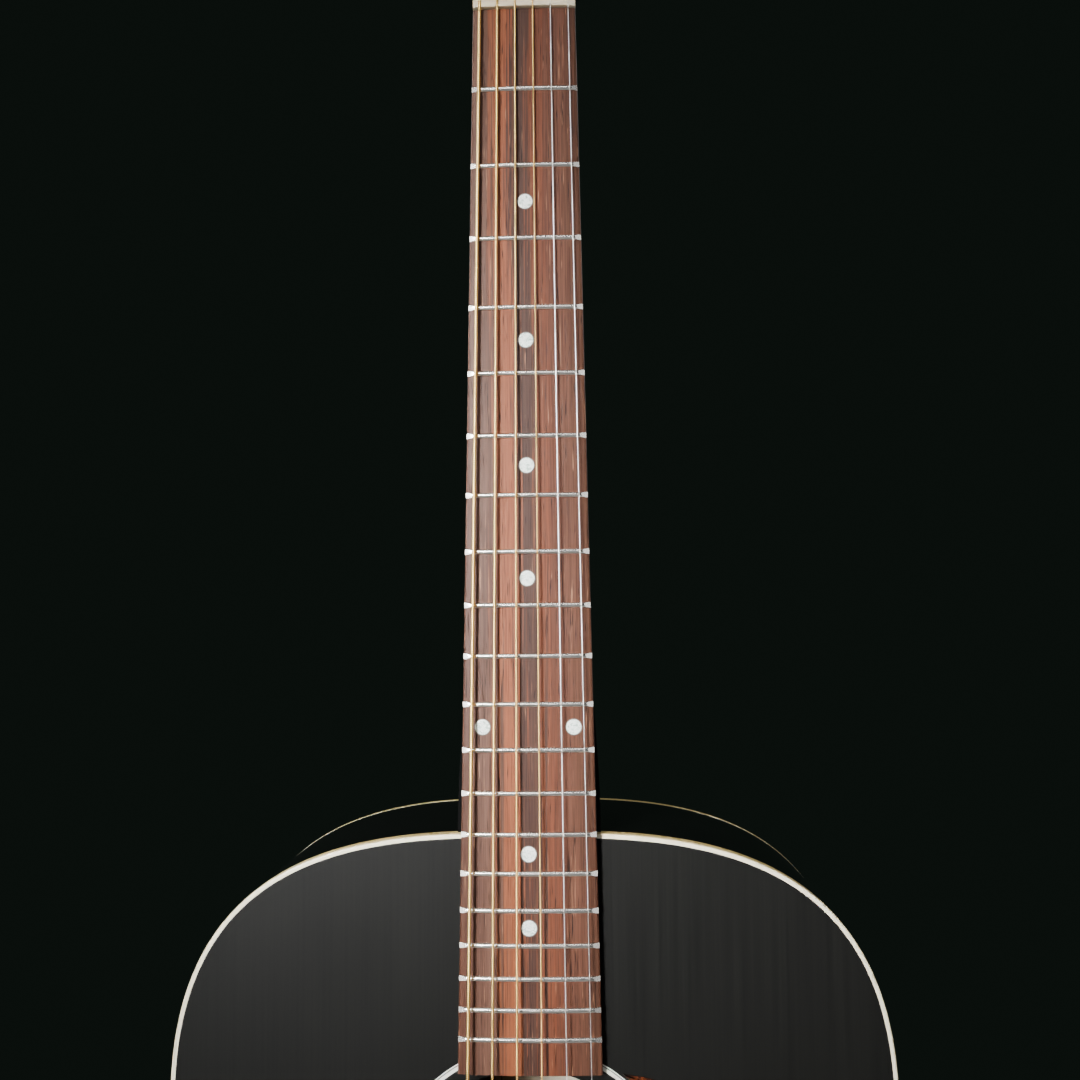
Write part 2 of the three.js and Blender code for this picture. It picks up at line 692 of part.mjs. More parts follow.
function makeStrings() {
  const nutXs = stringXs(STRING_SPAN_NUT);
  const saddleXs = stringXs(STRING_SPAN_SADDLE);
  STRING_DIAMETERS.forEach((diameter, i) => {
    const radius = diameter / 2;
    const { side, row } = postOf(i);
    const xn = nutXs[i];
    const xs = saddleXs[i];
    const overNut = camber(xn) - NUT_TOP - radius;
    const overSaddle = camber(xs) - SADDLE_TOP - GAP - radius;
    const saddleZ = SADDLE_Z + xs * Math.tan(SADDLE_SLANT);
    const inHole = PIN_ROW + 3.7;
    const route = [
      headPoint(side * (POST_X - POST_RADIUS - GAP - radius), WINDING_DEPTH, row),
      new THREE.Vector3(xn, overNut, NUT_THICKNESS - 0.6),
      new THREE.Vector3(xn, overNut, 0.8),
      new THREE.Vector3(xs, overSaddle, saddleZ + 0.7),
      new THREE.Vector3(xs, overSaddle, saddleZ - 0.7),
      new THREE.Vector3(xs, -BRIDGE_TOP - 1, inHole + 0.6),
      new THREE.Vector3(xs, -BRIDGE_TOP + 0.6, inHole),
      new THREE.Vector3(xs, 13.2, inHole),
    ];
    const section = new THREE.Shape();
    section.absarc(0, 0, radius, 0, 2 * Math.PI);
    const geometry = new THREE.ExtrudeGeometry(section, {
      extrudePath: new Route(route),
      steps: route.length - 1,
      curveSegments: 8,
      bevelEnabled: false,
    });
    const material = i < 4 ? FINISH.bronze() : FINISH.steel();
    node(`string_${i + 1}`, solid(geometry), material);
  });
}

// ---- headstock furniture, drawn flat and tilted by its group ----

const head = new THREE.Group();
head.position.copy(HEAD_ORIGIN);
head.rotation.x = -HEAD_ANGLE;
guitar.add(head);

function makeHeadplate() {
  const plate = slab(headOutline(0.2), 0, HEADPLATE_THICKNESS, 8)
    .subtract(rodPocket())
    .subtract(postHoles(3.5, -20, 30));
  node("headplate", plate, FINISH.blackGloss(), head);

  const shape = new THREE.Shape();
  shape.moveTo(-9, 2.5);
  shape.quadraticCurveTo(-9.4, 14, -6.5, 24);
  shape.quadraticCurveTo(-4.5, 33, 0, 33);
  shape.quadraticCurveTo(4.5, 33, 6.5, 24);
  shape.quadraticCurveTo(9.4, 14, 9, 2.5);
  const screws = [5, 29].map((z) => barY(1.6, 0, z, -2.4, -1, 12));
  const cover = join([slab(shape, -1.9, -GAP, 6), ...screws]);
  node("truss_rod_cover", cover, FINISH.blackGloss(), head);
}

function gearOutline() {
  const shape = new THREE.Shape();
  const root = 4.2;
  const tip = 5.6;
  for (let tooth = 0; tooth < GEAR_TEETH; tooth += 1) {
    // Half a tooth past the straight line down to the worm, so that a gap faces the worm.
    const centre = -Math.PI / 2 + ((tooth + 0.5) * 2 * Math.PI) / GEAR_TEETH;
    [
      [root, -0.1],
      [tip, -0.05],
      [tip, 0.05],
      [root, 0.1],
    ].forEach(([radius, turn], corner) => {
      const x = radius * Math.cos(centre + turn);
      const z = radius * Math.sin(centre + turn);
      if (tooth + corner === 0) shape.moveTo(x, z);
      else shape.lineTo(x, z);
    });
  }
  return shape;
}

function makePost(number, x, z) {
  const profile = [
    [0, POST_FRONT],
    [2.3, POST_FRONT],
    [POST_RADIUS, POST_FRONT + 0.8],
    [POST_RADIUS, 21.8],
    [2.4, 22.2],
    [2.2, 23.4],
    [0, 23.4],
  ];
  const shaft = solid(turned(profile, 12));
  const gear = slab(gearOutline(), WORM_DEPTH - 2.1, WORM_DEPTH + 2.1);
  const mesh = node(`tuner_post_${number}`, shaft.add(gear), FINISH.nickel(), head);
  mesh.position.set(x, 0, z);
}

// The worm's thread: a blunt ridge wound along x, with a crest facing the gear at x = 0.
function wormThread() {
  const stepsPerTurn = 8;
  const turns = 3;
  const rings = [];
  for (let i = 0; i <= stepsPerTurn * turns; i += 1) {
    const turn = i / stepsPerTurn - turns / 2;
    const angle = 2 * Math.PI * turn;
    const along = WORM_PITCH * turn;
    const ring = [
      [-0.45, 1.5],
      [0.45, 1.5],
      [0.22, 2.85],
      [-0.22, 2.85],
    ].map(([offset, radius]) => {
      return new THREE.Vector3(
        along + offset,
        -radius * Math.sin(angle),
        radius * Math.cos(angle),
      );
    });
    rings.push(ring);
  }
  return loft(rings);
}

function makeKey(number, side, z) {
  const worm = wormThread().add(barX(1.75, -5, 5, 0, 0, 8));
  const shaft = side > 0 ? barX(1.5, -8.2, 22, 0, 0, 8) : barX(1.5, -22, 8.2, 0, 0, 8);
  const collar = side > 0 ? barX(2.9, 17.5, 21, 0, 0, 10) : barX(2.9, -21, -17.5, 0, 0, 10);
  const button = new THREE.SphereGeometry(1, 12, 7).scale(10.2, 4, 8);
  button.translate(side * 30.4, 0, 0);
  const key = join([worm, shaft, collar, solid(button)]);
  const mesh = node(`tuner_key_${number}`, key, FINISH.nickel(), head);
  mesh.position.set(side * POST_X, WORM_DEPTH, z - CENTRE_DISTANCE);
}

function makeTunerPlate(name, side) {
  const left = side > 0 ? 13.2 : -29.6;
  const front = HEAD_THICKNESS + GAP;
  const face = front + 1.3;
  const wide = 16.4;
  const foot = POST_ROWS[0] - 18;
  const top = POST_ROWS[2] + 14;
  const pieces = [block(left, left + wide, front, face, foot, top)];
  POST_ROWS.forEach((row) => {
    const z = row - CENTRE_DISTANCE;
    [7.2, -6.5].forEach((offset) => {
      const x = side * (POST_X + offset);
      pieces.push(block(x - 1, x + 1, face - 0.5, 23.4, z - 3.4, z + 3.4));
    });
  });
  [foot + 3.5, POST_ROWS[0] + 13, POST_ROWS[1] + 13, top - 3.5].forEach((z) => {
    pieces.push(barY(2.2, side * POST_X, z, face - 0.5, face + 1.2, 8));
  });
  let plate = join(pieces);
  POST_ROWS.forEach((row) => {
    plate = plate
      .subtract(barY(3.5, side * POST_X, row, 0, 30, 12))
      .subtract(barX(1.8, side > 0 ? 0 : -40, side > 0 ? 40 : 0, WORM_DEPTH, row - CENTRE_DISTANCE, 10));
  });
  node(name, plate, FINISH.nickel(), head);
}

makeBody();
makeBraces();
makePickguard();
makeEndPin();
makeBridge();
makeNeck();
makeFingerboard();
makeNut();
makeStrings();
makeHeadplate();
STRING_DIAMETERS.forEach((_, i) => {
  const { side, row } = postOf(i);
  makePost(i + 1, side * POST_X, row);
  makeKey(i + 1, side, row);
});
makeTunerPlate("tuner_plate_bass", -1);
makeTunerPlate("tuner_plate_treble", 1);

export default guitar;
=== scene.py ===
# The looks of a black flat-top acoustic guitar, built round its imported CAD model.
# Sizes are in millimetres until a mesh is made: the row's frame is in metres.
import math

import bmesh
import bpy
import numpy as np
from mathutils import Matrix, Vector


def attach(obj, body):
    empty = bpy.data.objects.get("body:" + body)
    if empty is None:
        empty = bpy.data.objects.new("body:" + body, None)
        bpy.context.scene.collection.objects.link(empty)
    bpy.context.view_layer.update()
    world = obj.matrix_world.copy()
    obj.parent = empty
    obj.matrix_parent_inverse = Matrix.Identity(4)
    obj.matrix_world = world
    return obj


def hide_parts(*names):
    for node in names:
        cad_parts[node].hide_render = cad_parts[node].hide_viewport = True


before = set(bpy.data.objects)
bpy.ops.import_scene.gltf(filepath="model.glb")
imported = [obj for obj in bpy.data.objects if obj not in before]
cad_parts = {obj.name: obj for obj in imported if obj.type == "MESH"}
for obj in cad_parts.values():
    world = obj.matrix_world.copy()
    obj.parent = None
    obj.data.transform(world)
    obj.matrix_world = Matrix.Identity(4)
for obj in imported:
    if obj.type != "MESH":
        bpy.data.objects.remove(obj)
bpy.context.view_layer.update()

MM = 0.001
ROOT = "guitar"
FULL_TURN = 2 * math.pi

# ---- sizes shared with the CAD ----
GAP = 0.3
SCALE_LENGTH = 628.65
FRETS = 20
BOARD_RADIUS = 305.0
BOARD_END = 444.7
NUT_WIDTH = 43.8
BOARD_TAPER = 0.034
FRET_HEIGHT = 1.1
FRET_WIDTH = 2.3
JOINT_Z = -349.0
BODY_LENGTH = 514.0
TAIL_Z = JOINT_Z - BODY_LENGTH
DEPTH_AT_NECK = 98.4
DEPTH_AT_TAIL = 122.0
BACK_RADIUS = 4570.0
TOP_FACE = 6.5  # the board's thickness: its foot lies on the soundboard's face
TOP_THICKNESS = 3.0
BACK_THICKNESS = 2.8
SIDE_THICKNESS = 2.4
BINDING_WIDTH = 2.0
TOP_BINDING_HEIGHT = 6.15
BACK_BINDING_HEIGHT = 4.75
UPPER_BOUT = (149.2, 108.0)
WAIST = (136.5, 204.0)
LOWER_BOUT = (204.0, 372.0)
HOLE_RADIUS = 50.8
HOLE_Z = -495.4
NUT_THICKNESS = 4.9
STRING_SPAN_NUT = 37.7
STRING_SPAN_SADDLE = 54.8
STRING_DIAMETERS = [1.35, 1.07, 0.81, 0.61, 0.43, 0.33]
WINDING_PITCHES = (0.42, 0.36, 0.30, 0.24)  # of the wound strings
SADDLE_Z = -631.8
SADDLE_TOP = 5.3
SADDLE_SLANT = math.atan(3.2 / 73)
NUT_TOP = 1.2
BRIDGE_TOP = 1.8
PIN_ROW = -646.0
HEAD_ANGLE = math.radians(17)
HEAD_ORIGIN = np.array([0.0, 4.6, 6.1])
HEAD_LENGTH = 172.0
HEAD_THICKNESS = 15.0
HEADPLATE_THICKNESS = 2.0
POST_X = 21.0
POST_ROWS = [40.0, 78.0, 116.0]
POST_RADIUS = 3.0
WINDING_DEPTH = -7.0
GEAR_TEETH = 15
GEAR_PITCH_RADIUS = 5.1
WORM_PITCH_RADIUS = 2.4
WORM_DEPTH = 19.9
CENTRE_DISTANCE = GEAR_PITCH_RADIUS + WORM_PITCH_RADIUS
WORM_PITCH = FULL_TURN * GEAR_PITCH_RADIUS / GEAR_TEETH
HEEL_BACK = 93.0
HEEL_FACE = JOINT_Z + GAP
HEEL_WIDE = 27.4  # half widths of the heel, under the board and at the cap
HEEL_NARROW = HEEL_WIDE - 15.6
NECK_DEPTH = 15.4
NECK_POWER = 2.33  # how square the neck's sections are: 2 would be an ellipse


def fret_z(n):
    return -SCALE_LENGTH * (1 - 2 ** (-n / 12))


def fret_middle(n):
    return (fret_z(n) + fret_z(n - 1)) / 2


def board_half(z):
    return (NUT_WIDTH - BOARD_TAPER * z) / 2


def camber(x):
    return x * x / (2 * BOARD_RADIUS)


def smoothstep(t):
    return t * t * (3 - 2 * t)


def circle(count):
    return np.linspace(0, FULL_TURN, count, endpoint=False)


def quarter(steps=5):
    """A rounded edge of radius 1, from one face to the next: 1 - sine and 1 - cosine."""
    return [(1 - math.sin(a), 1 - math.cos(a)) for a in np.linspace(0, math.pi / 2, steps + 1)]


def string_xs(span):
    last = len(STRING_DIAMETERS) - 1
    return [(i / last - 0.5) * span for i in range(last + 1)]


def post_of(i):
    """The side and the row of string i's tuner."""
    return (-1, POST_ROWS[i]) if i < 3 else (1, POST_ROWS[5 - i])


def to_head(points):
    """Points in the tilted frame of the headstock, as points of the row."""
    p = np.asarray(points, float).reshape(-1, 3)
    s, c = math.sin(HEAD_ANGLE), math.cos(HEAD_ANGLE)
    leaning = np.stack([p[:, 0], p[:, 1] * c + p[:, 2] * s, p[:, 2] * c - p[:, 1] * s], 1)
    return leaning + HEAD_ORIGIN


def on_head(shape):
    return to_head(shape[0]), shape[1]


def slanted(shape):
    """Turns a shape to the saddle's slant and puts it in the saddle's place."""
    v, faces = shape
    s, c = math.sin(SADDLE_SLANT), math.cos(SADDLE_SLANT)
    return np.stack([v[:, 0] * c - v[:, 2] * s, v[:, 1], v[:, 0] * s + v[:, 2] * c + SADDLE_Z], 1), faces


# ---- materials ----


class Paint:
    """A node material, built by short calls."""

    def __init__(self, name, **sockets):
        self.material = bpy.data.materials.new(name)
        self.material.use_nodes = True
        self.tree = self.material.node_tree
        self.shader = self.tree.nodes["Principled BSDF"].inputs
        for socket, value in sockets.items():
            self.shader[socket.replace("_", " ")].default_value = value
        self.texture = self.tree.nodes.new("ShaderNodeTexCoord").outputs
        self.place = self.texture["Object"]

    def connect(self, value, socket):
        if isinstance(value, bpy.types.NodeSocket):
            self.tree.links.new(value, socket)
        else:
            socket.default_value = value

    def add(self, kind, inputs, **settings):
        """A node's outputs; each input is a value or another node's output."""
        node = self.tree.nodes.new("ShaderNode" + kind)
        for name, value in settings.items():
            setattr(node, name, value)
        for socket, value in inputs.items():
            self.connect(value, node.inputs[socket])
        return node.outputs

    def stretched(self, *scale):
        """Object coordinates, scaled: the values are features per metre."""
        return self.add("Mapping", {"Vector": self.place, "Scale": scale})["Vector"]

    def noise(self, *scale, detail=4.0, roughness=0.6, distortion=0.0):
        """Noise with so many features per metre, the same or not along each axis."""
        place = self.stretched(*(scale if len(scale) == 3 else scale * 3))
        inputs = {"Vector": place, "Scale": 1.0, "Detail": detail}
        inputs.update({"Roughness": roughness, "Distortion": distortion})
        return self.add("TexNoise", inputs)["Fac"]

    def ramp(self, factor, *stops):
        node = self.tree.nodes.new("ShaderNodeValToRGB")
        elements = node.color_ramp.elements
        while len(elements) < len(stops):
            elements.new(0.5)
        for element, (position, color) in zip(elements, stops):
            element.position = position
            element.color = (*color, 1)
        self.connect(factor, node.inputs["Fac"])
        return node.outputs["Color"]

    def grey(self, factor, *stops):
        return self.ramp(factor, *[(p, (v, v, v)) for p, v in stops])

    def mix(self, factor, a, b, blend="MIX"):
        a, b = ((*v, 1) if isinstance(v, tuple) else v for v in (a, b))
        return self.add("Mix", {0: factor, 6: a, 7: b}, data_type="RGBA", blend_type=blend)[2]

    def math(self, kind, a, b=0.0):
        return self.add("Math", {0: a, 1: b}, operation=kind)[0]

    def finish(self, color, rough, *bumps):
        """Sets the colour, the roughness, and the bumps with their heights in millimetres."""
        self.connect(color, self.shader["Base Color"])
        self.connect(rough, self.shader["Roughness"])
        normal = self.shader["Normal"]
        for height, distance in bumps:
            inputs = {"Height": height, "Distance": distance * MM, "Strength": 1.0}
            if normal.is_linked:
                inputs["Normal"] = normal.links[0].from_socket
            self.connect(self.add("Bump", inputs)["Normal"], normal)
        return self.material


def black_top():
    p = Paint("black_top", Specular_IOR_Level=0.13)
    grain = p.noise(900, 900, 9, detail=3, distortion=0.3)
    fibres = p.noise(3200, 3200, 60, detail=3)
    cloud = p.noise(14, 14, 9, detail=3)
    color = p.ramp(grain, (0.3, (0.0040, 0.0041, 0.0037)), (0.7, (0.0066, 0.0067, 0.0058)))
    rough = p.mix(0.35, p.grey(cloud, (0.3, 0.40), (0.7, 0.47)), p.grey(grain, (0.3, 0.36), (0.7, 0.5)))
    return p.finish(color, rough, (grain, 0.014), (fibres, 0.006))


def black_gloss():
    p = Paint("black_gloss", Coat_Weight=0.6, Coat_Roughness=0.04)
    cloud = p.noise(22)
    swirl = p.noise(260, detail=5)
    ripple = p.noise(120, 120, 60, detail=2)
    color = p.ramp(cloud, (0.3, (0.0035, 0.0035, 0.0036)), (0.7, (0.0058, 0.0055, 0.0052)))
    return p.finish(color, p.grey(swirl, (0.35, 0.09), (0.75, 0.125)), (ripple, 0.003))


def cream_binding():
    """Cream plastic; its faces that look sideways are painted darker and yellower, a painted shade."""
    glow = {"Subsurface_Weight": 0.08, "Subsurface_Scale": 0.001, "Subsurface_Radius": (1.0, 0.7, 0.4)}
    p = Paint("cream_binding", **glow)
    cloud = p.noise(30, detail=5)
    age = p.noise(170)
    # Painted shade: faces that look sideways get a darker, yellower colour than faces that look forward or
    # back.
    facing = p.add("SeparateXYZ", {"Vector": p.texture["Normal"]})["Y"]
    faces = p.ramp(p.math("ABSOLUTE", facing), (0.35, (0.60, 0.45, 0.17)), (0.8, (0.86, 0.80, 0.60)))
    aged = p.mix(p.grey(cloud, (0.3, 0.0), (0.8, 0.25)), faces, (0.62, 0.47, 0.22))
    color = p.mix(p.grey(age, (0.62, 0.0), (0.85, 0.3)), aged, (0.48, 0.36, 0.18))
    return p.finish(color, p.grey(age, (0.3, 0.24), (0.8, 0.38)), (age, 0.012))


def rosewood(name, width, drift, *bands, turn=0):
    """Streaky dark wood whose broad bands are placed across its width, and wander along it."""
    p = Paint(name, Specular_IOR_Level=0.14)
    if turn:
        inputs = {"Vector": p.place, "Rotation": (0, turn, 0), "Location": (0.638, 0, 0)}
        p.place = p.add("Mapping", inputs)["Vector"]
    wander = p.noise(10, 10, 3.2, detail=2)
    streaks = p.noise(620, 200, 9, detail=5, roughness=0.62, distortion=0.4)
    fine = p.noise(1700, 900, 24, detail=5, roughness=0.7)
    pores = p.noise(1900, 1200, 70, detail=2, roughness=0.5, distortion=0.3)
    glints = p.noise(1500, 1100, 55, detail=2, roughness=0.5, distortion=0.3)
    across = p.add("SeparateXYZ", {"Vector": p.place})
    place = p.math("ADD", p.math("MULTIPLY", across["X"], 1 / width), 0.5)
    place = p.math("ADD", place, p.math("MULTIPLY", across["Z"], drift))
    for waves, strength in ((wander, 0.16), (streaks, 0.42)):
        place = p.math("ADD", place, p.math("MULTIPLY", p.math("ADD", waves, -0.5), strength))
    wood = p.ramp(place, *bands)
    dark = p.mix(1.0, wood, (0.34, 0.28, 0.27), "MULTIPLY")
    lined = p.mix(p.grey(fine, (0.34, 0.75), (0.55, 0.0)), wood, dark)
    pale = p.mix(p.grey(glints, (0.66, 0.0), (0.74, 0.6)), lined, (0.36, 0.18, 0.10))
    color = p.mix(p.grey(pores, (0.30, 0.95), (0.38, 0.0)), pale, (0.012, 0.005, 0.004))
    rough = p.mix(0.5, p.grey(fine, (0.3, 0.55), (0.7, 0.40)), p.grey(streaks, (0.3, 0.5), (0.7, 0.38)))
    return p.finish(color, rough, (fine, 0.03), (p.grey(pores, (0.30, 0.0), (0.39, 1.0)), 0.05))


def bare_wood(name, light, dark, across, along):
    p = Paint(name)
    rings = p.noise(across, across * 0.6, along, detail=3, distortion=0.4)
    fine = p.noise(across * 5, across * 5, along * 8)
    cloud = p.noise(25, 25, 12)
    shade = tuple(c * 0.72 for c in dark)
    base = p.ramp(rings, (0.35, dark), (0.62, light))
    worn = p.mix(p.grey(cloud, (0.35, 0.0), (0.8, 0.35)), base, shade)
    color = p.mix(p.grey(fine, (0.3, 0.55), (0.5, 0.0)), worn, shade)
    return p.finish(color, p.grey(fine, (0.3, 0.8), (0.7, 0.6)), (fine, 0.05))


def bone():
    p = Paint("bone", Subsurface_Weight=0.15, Subsurface_Scale=0.002, Subsurface_Radius=(1.0, 0.8, 0.5))
    cloud = p.noise(70, detail=5)
    pores = p.noise(900, 500, 900, detail=3)
    base = p.ramp(cloud, (0.3, (0.58, 0.47, 0.30)), (0.7, (0.74, 0.65, 0.47)))
    color = p.mix(p.grey(pores, (0.28, 0.6), (0.36, 0.0)), base, (0.40, 0.28, 0.15))
    return p.finish(color, p.grey(cloud, (0.3, 0.34), (0.7, 0.46)), (pores, 0.02))


def ivory_plastic():
    p = Paint("ivory_plastic", Subsurface_Weight=0.1, Subsurface_Scale=0.0015)
    scuff = p.noise(700)
    color = p.ramp(p.noise(90), (0.3, (0.72, 0.69, 0.60)), (0.7, (0.82, 0.80, 0.72)))
    return p.finish(color, p.grey(scuff, (0.3, 0.22), (0.8, 0.4)), (scuff, 0.008))


def black_plastic():
    p = Paint("black_plastic")
    scuff = p.noise(400, detail=5)
    color = p.ramp(scuff, (0.3, (0.006, 0.006, 0.006)), (0.8, (0.014, 0.013, 0.012)))
    return p.finish(color, p.grey(scuff, (0.3, 0.2), (0.8, 0.34)), (scuff, 0.005))


def tortoise():
    p = Paint("tortoise", Coat_Weight=0.5, Coat_Roughness=0.06)
    warp = p.noise(55, 55, 38, detail=3, roughness=0.55, distortion=1.6)
    flecks = p.noise(210, 210, 150, distortion=0.9)
    base = p.ramp(
        warp,
        (0.36, (0.008, 0.003, 0.002)),
        (0.5, (0.030, 0.008, 0.004)),
        (0.62, (0.115, 0.026, 0.008)),
        (0.78, (0.230, 0.066, 0.016)),
    )
    color = p.mix(p.grey(flecks, (0.45, 0.85), (0.6, 0.0)), base, (0.010, 0.004, 0.003))
    return p.finish(color, p.grey(flecks, (0.3, 0.14), (0.8, 0.24)), (flecks, 0.004))


def pearl():
    p = Paint("pearl", Coat_Weight=0.5, Coat_Roughness=0.08)
    flow = p.noise(260, 260, 420, distortion=2.4)
    flash = p.noise(620, 620, 330, detail=2, distortion=3.0)
    base = p.ramp(
        flow,
        (0.38, (0.36, 0.48, 0.42)),
        (0.46, (0.80, 0.90, 0.84)),
        (0.53, (0.94, 0.96, 0.92)),
        (0.60, (0.56, 0.66, 0.60)),
    )
    color = p.mix(p.grey(flash, (0.5, 0.0), (0.72, 0.4)), base, (0.97, 0.99, 0.96))
    return p.finish(color, p.grey(flash, (0.3, 0.2), (0.7, 0.32)), (flow, 0.01))


def metal(name, light, dark, smooth=0.16, worn=0.34, scale=240):
    p = Paint(name, Metallic=1.0)
    tarnish = p.noise(scale, detail=6)
    scratch = p.noise(scale * 12, scale * 3, scale * 3, detail=3)
    wear = [p.grey(field, (0.3, smooth), (end, worn)) for field, end in ((tarnish, 0.8), (scratch, 0.7))]
    return p.finish(p.ramp(tarnish, (0.35, light), (0.8, dark)), p.mix(0.4, *wear), (scratch, 0.003))


def wound_bronze(name, pitch):
    """Bronze wire wound round a core: a fine screw line along the string."""
    p = Paint(name, Metallic=1.0)
    inputs = {"Vector": p.stretched(1 / 20, 1 / 20, 1 / 20), "Scale": math.pi / (pitch * MM)}
    wire = p.add("TexWave", inputs, wave_profile="SIN", bands_direction="Z")["Fac"]
    tarnish = p.noise(60, 60, 25, detail=5)
    base = p.ramp(tarnish, (0.3, (1.0, 0.70, 0.24)), (0.8, (0.89, 0.54, 0.16)))
    # Painted shade: the grooves between the turns of wire are painted darker.
    color = p.mix(p.grey(wire, (0.0, 0.4), (0.3, 0.0)), base, (0.40, 0.24, 0.10))
    return p.finish(color, p.grey(tarnish, (0.3, 0.38), (0.8, 0.5)), (wire, 0.05))


def paper():
    p = Paint("label_paper")
    fibre = p.noise(900, 900, 700, detail=5)
    base = p.ramp(p.noise(28), (0.3, (0.66, 0.62, 0.50)), (0.8, (0.56, 0.48, 0.33)))
    color = p.mix(p.grey(fibre, (0.3, 0.25), (0.6, 0.0)), base, (0.45, 0.4, 0.3))
    return p.finish(color, p.grey(fibre, (0.3, 0.9), (0.7, 0.8)), (fibre, 0.03))


def ink_and_shadow():
    # Dark ink for the label's rules, also used for the painted shadow ring round the dots.
    p = Paint("label_ink_and_dot_shadow")
    fade = p.noise(300, detail=5)
    color = p.ramp(fade, (0.3, (0.05, 0.04, 0.035)), (0.8, (0.16, 0.13, 0.10)))
    return p.finish(color, p.grey(fade, (0.3, 0.7), (0.7, 0.85)))


LOOK = {
    "black_top": black_top(),
    "black_gloss": black_gloss(),
    "binding": cream_binding(),
    "rosewood": rosewood(
        "rosewood_board", 0.060, 0.14,
        (0.00, (0.073, 0.028, 0.016)),
        (0.09, (0.084, 0.038, 0.025)),
        (0.17, (0.112, 0.054, 0.036)),
        (0.24, (0.082, 0.036, 0.023)),
        (0.28, (0.190, 0.060, 0.026)),
        (0.37, (0.225, 0.066, 0.027)),
        (0.43, (0.048, 0.023, 0.017)),
        (0.52, (0.058, 0.028, 0.020)),
        (0.57, (0.150, 0.046, 0.022)),
        (0.66, (0.088, 0.032, 0.019)),
        (0.74, (0.108, 0.044, 0.027)),
        (0.86, (0.064, 0.028, 0.017)),
        (1.00, (0.098, 0.038, 0.022)),
    ),
    "bridge_wood": rosewood(
        "rosewood_bridge", 0.050, 0.0,
        (0.0, (0.070, 0.030, 0.018)),
        (0.3, (0.120, 0.055, 0.034)),
        (0.5, (0.060, 0.028, 0.019)),
        (0.7, (0.140, 0.058, 0.032)),
        (1.0, (0.075, 0.036, 0.024)),
        turn=-math.pi / 2,
    ),
    "spruce": bare_wood("spruce", (0.66, 0.46, 0.26), (0.46, 0.28, 0.13), 900, 10),
    "mahogany": bare_wood("mahogany", (0.27, 0.12, 0.06), (0.14, 0.055, 0.028), 420, 16),
    "bone": bone(),
    "ivory_plastic": ivory_plastic(),
    "black_plastic": black_plastic(),
    "tortoise": tortoise(),
    "pearl": pearl(),
    "nickel": metal("nickel", (0.78, 0.76, 0.71), (0.60, 0.56, 0.49)),
    "fret_nickel": metal("fret_nickel", (0.96, 0.94, 0.89), (0.90, 0.86, 0.78), 0.22, 0.30, 120),
    "brass": metal("brass", (0.78, 0.57, 0.26), (0.5, 0.34, 0.14)),
    "steel": metal("string_steel", (0.97, 0.97, 0.96), (0.86, 0.85, 0.82), 0.36, 0.5, 90),
    "rod_steel": metal("rod_steel", (0.42, 0.42, 0.43), (0.22, 0.21, 0.20), 0.3, 0.5, 120),
    "paper": paper(),
    "ink_and_shadow": ink_and_shadow(),
}
for i, pitch in enumerate(WINDING_PITCHES):
    LOOK[f"wound_{i + 1}"] = wound_bronze(f"wound_bronze_{i + 1}", pitch)


# ---- meshes ----


def rebuilt(mesh, verts, faces, weld=0.0):
    """Fills a mesh from points in millimetres, with its faces pointing out."""
    points = np.asarray(verts, float).reshape(-1, 3) * MM
    mesh.from_pydata(points.tolist(), [], [list(map(int, f)) for f in faces])
    built = bmesh.new()
    built.from_mesh(mesh)
    if weld:
        bmesh.ops.remove_doubles(built, verts=built.verts, dist=weld)
    bmesh.ops.recalc_face_normals(built, faces=built.faces)
    built.to_mesh(mesh)
    built.free()
    return mesh


def linked(name, data):
    obj = bpy.data.objects.new(name, data)
    bpy.context.scene.collection.objects.link(obj)
    return obj


def piece(name, shape, look, body=ROOT, replaces=(), sharp=35):
    """A mesh that rides on a body, from a shape's points and faces in the row's frame."""
    mesh = rebuilt(bpy.data.meshes.new(name), *shape, weld=1e-7)
    obj = linked(name, mesh)
    mesh.materials.append(LOOK[look])
    mesh.shade_smooth()
    mesh.set_sharp_from_angle(angle=math.radians(sharp))
    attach(obj, body)
    if replaces:
        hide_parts(*replaces)
    return obj


def second_look(obj, look, chosen):
    """Gives the chosen faces of a piece another material."""
    obj.data.materials.append(LOOK[look])
    for face in obj.data.polygons:
        if chosen(face):
            face.material_index = 1


def grid_faces(rows, columns, wrap_rows=False, wrap_columns=True):
    """Quads between rows of points that were listed row by row."""
    faces = []
    for r in range(rows if wrap_rows else rows - 1):
        for c in range(columns if wrap_columns else columns - 1):
            r2, c2 = (r + 1) % rows, (c + 1) % columns
            faces.append((r * columns + c, r * columns + c2, r2 * columns + c2, r2 * columns + c))
    return faces


def at_depth(flat, y):
    """A loop drawn in x and z, put at a depth."""
    return np.stack([flat[:, 0], np.full(len(flat), y), flat[:, 1]], 1)


def loft(rings):
    """A skin over closed rings of equal length, with an n-gon at each end."""
    rings = [np.asarray(r, float) for r in rings]
    count = len(rings[0])
    faces = grid_faces(len(rings), count)
    faces.append(tuple(range(count)))
    faces.append(tuple(reversed(range((len(rings) - 1) * count, len(rings) * count))))
    return np.concatenate(rings), faces


def hoop(rings):
    """A skin over rings whose last one joins the first."""
    return np.concatenate(rings), grid_faces(len(rings), len(rings[0]), wrap_rows=True)


def rings_about(profile, axis, centre, segments):
    """Rings about x, y or z, from pairs of radius and place along the axis."""
    order = {"x": (1, 2, 0), "y": (2, 0, 1), "z": (0, 1, 2)}[axis]
    rings = []
    for radius, along in profile:
        ring = np.zeros((segments, 3))
        ring[:, order[0]] = radius * np.cos(circle(segments))
        ring[:, order[1]] = radius * np.sin(circle(segments))
        ring[:, order[2]] = along
        rings.append(ring + np.asarray(centre, float))
    return rings


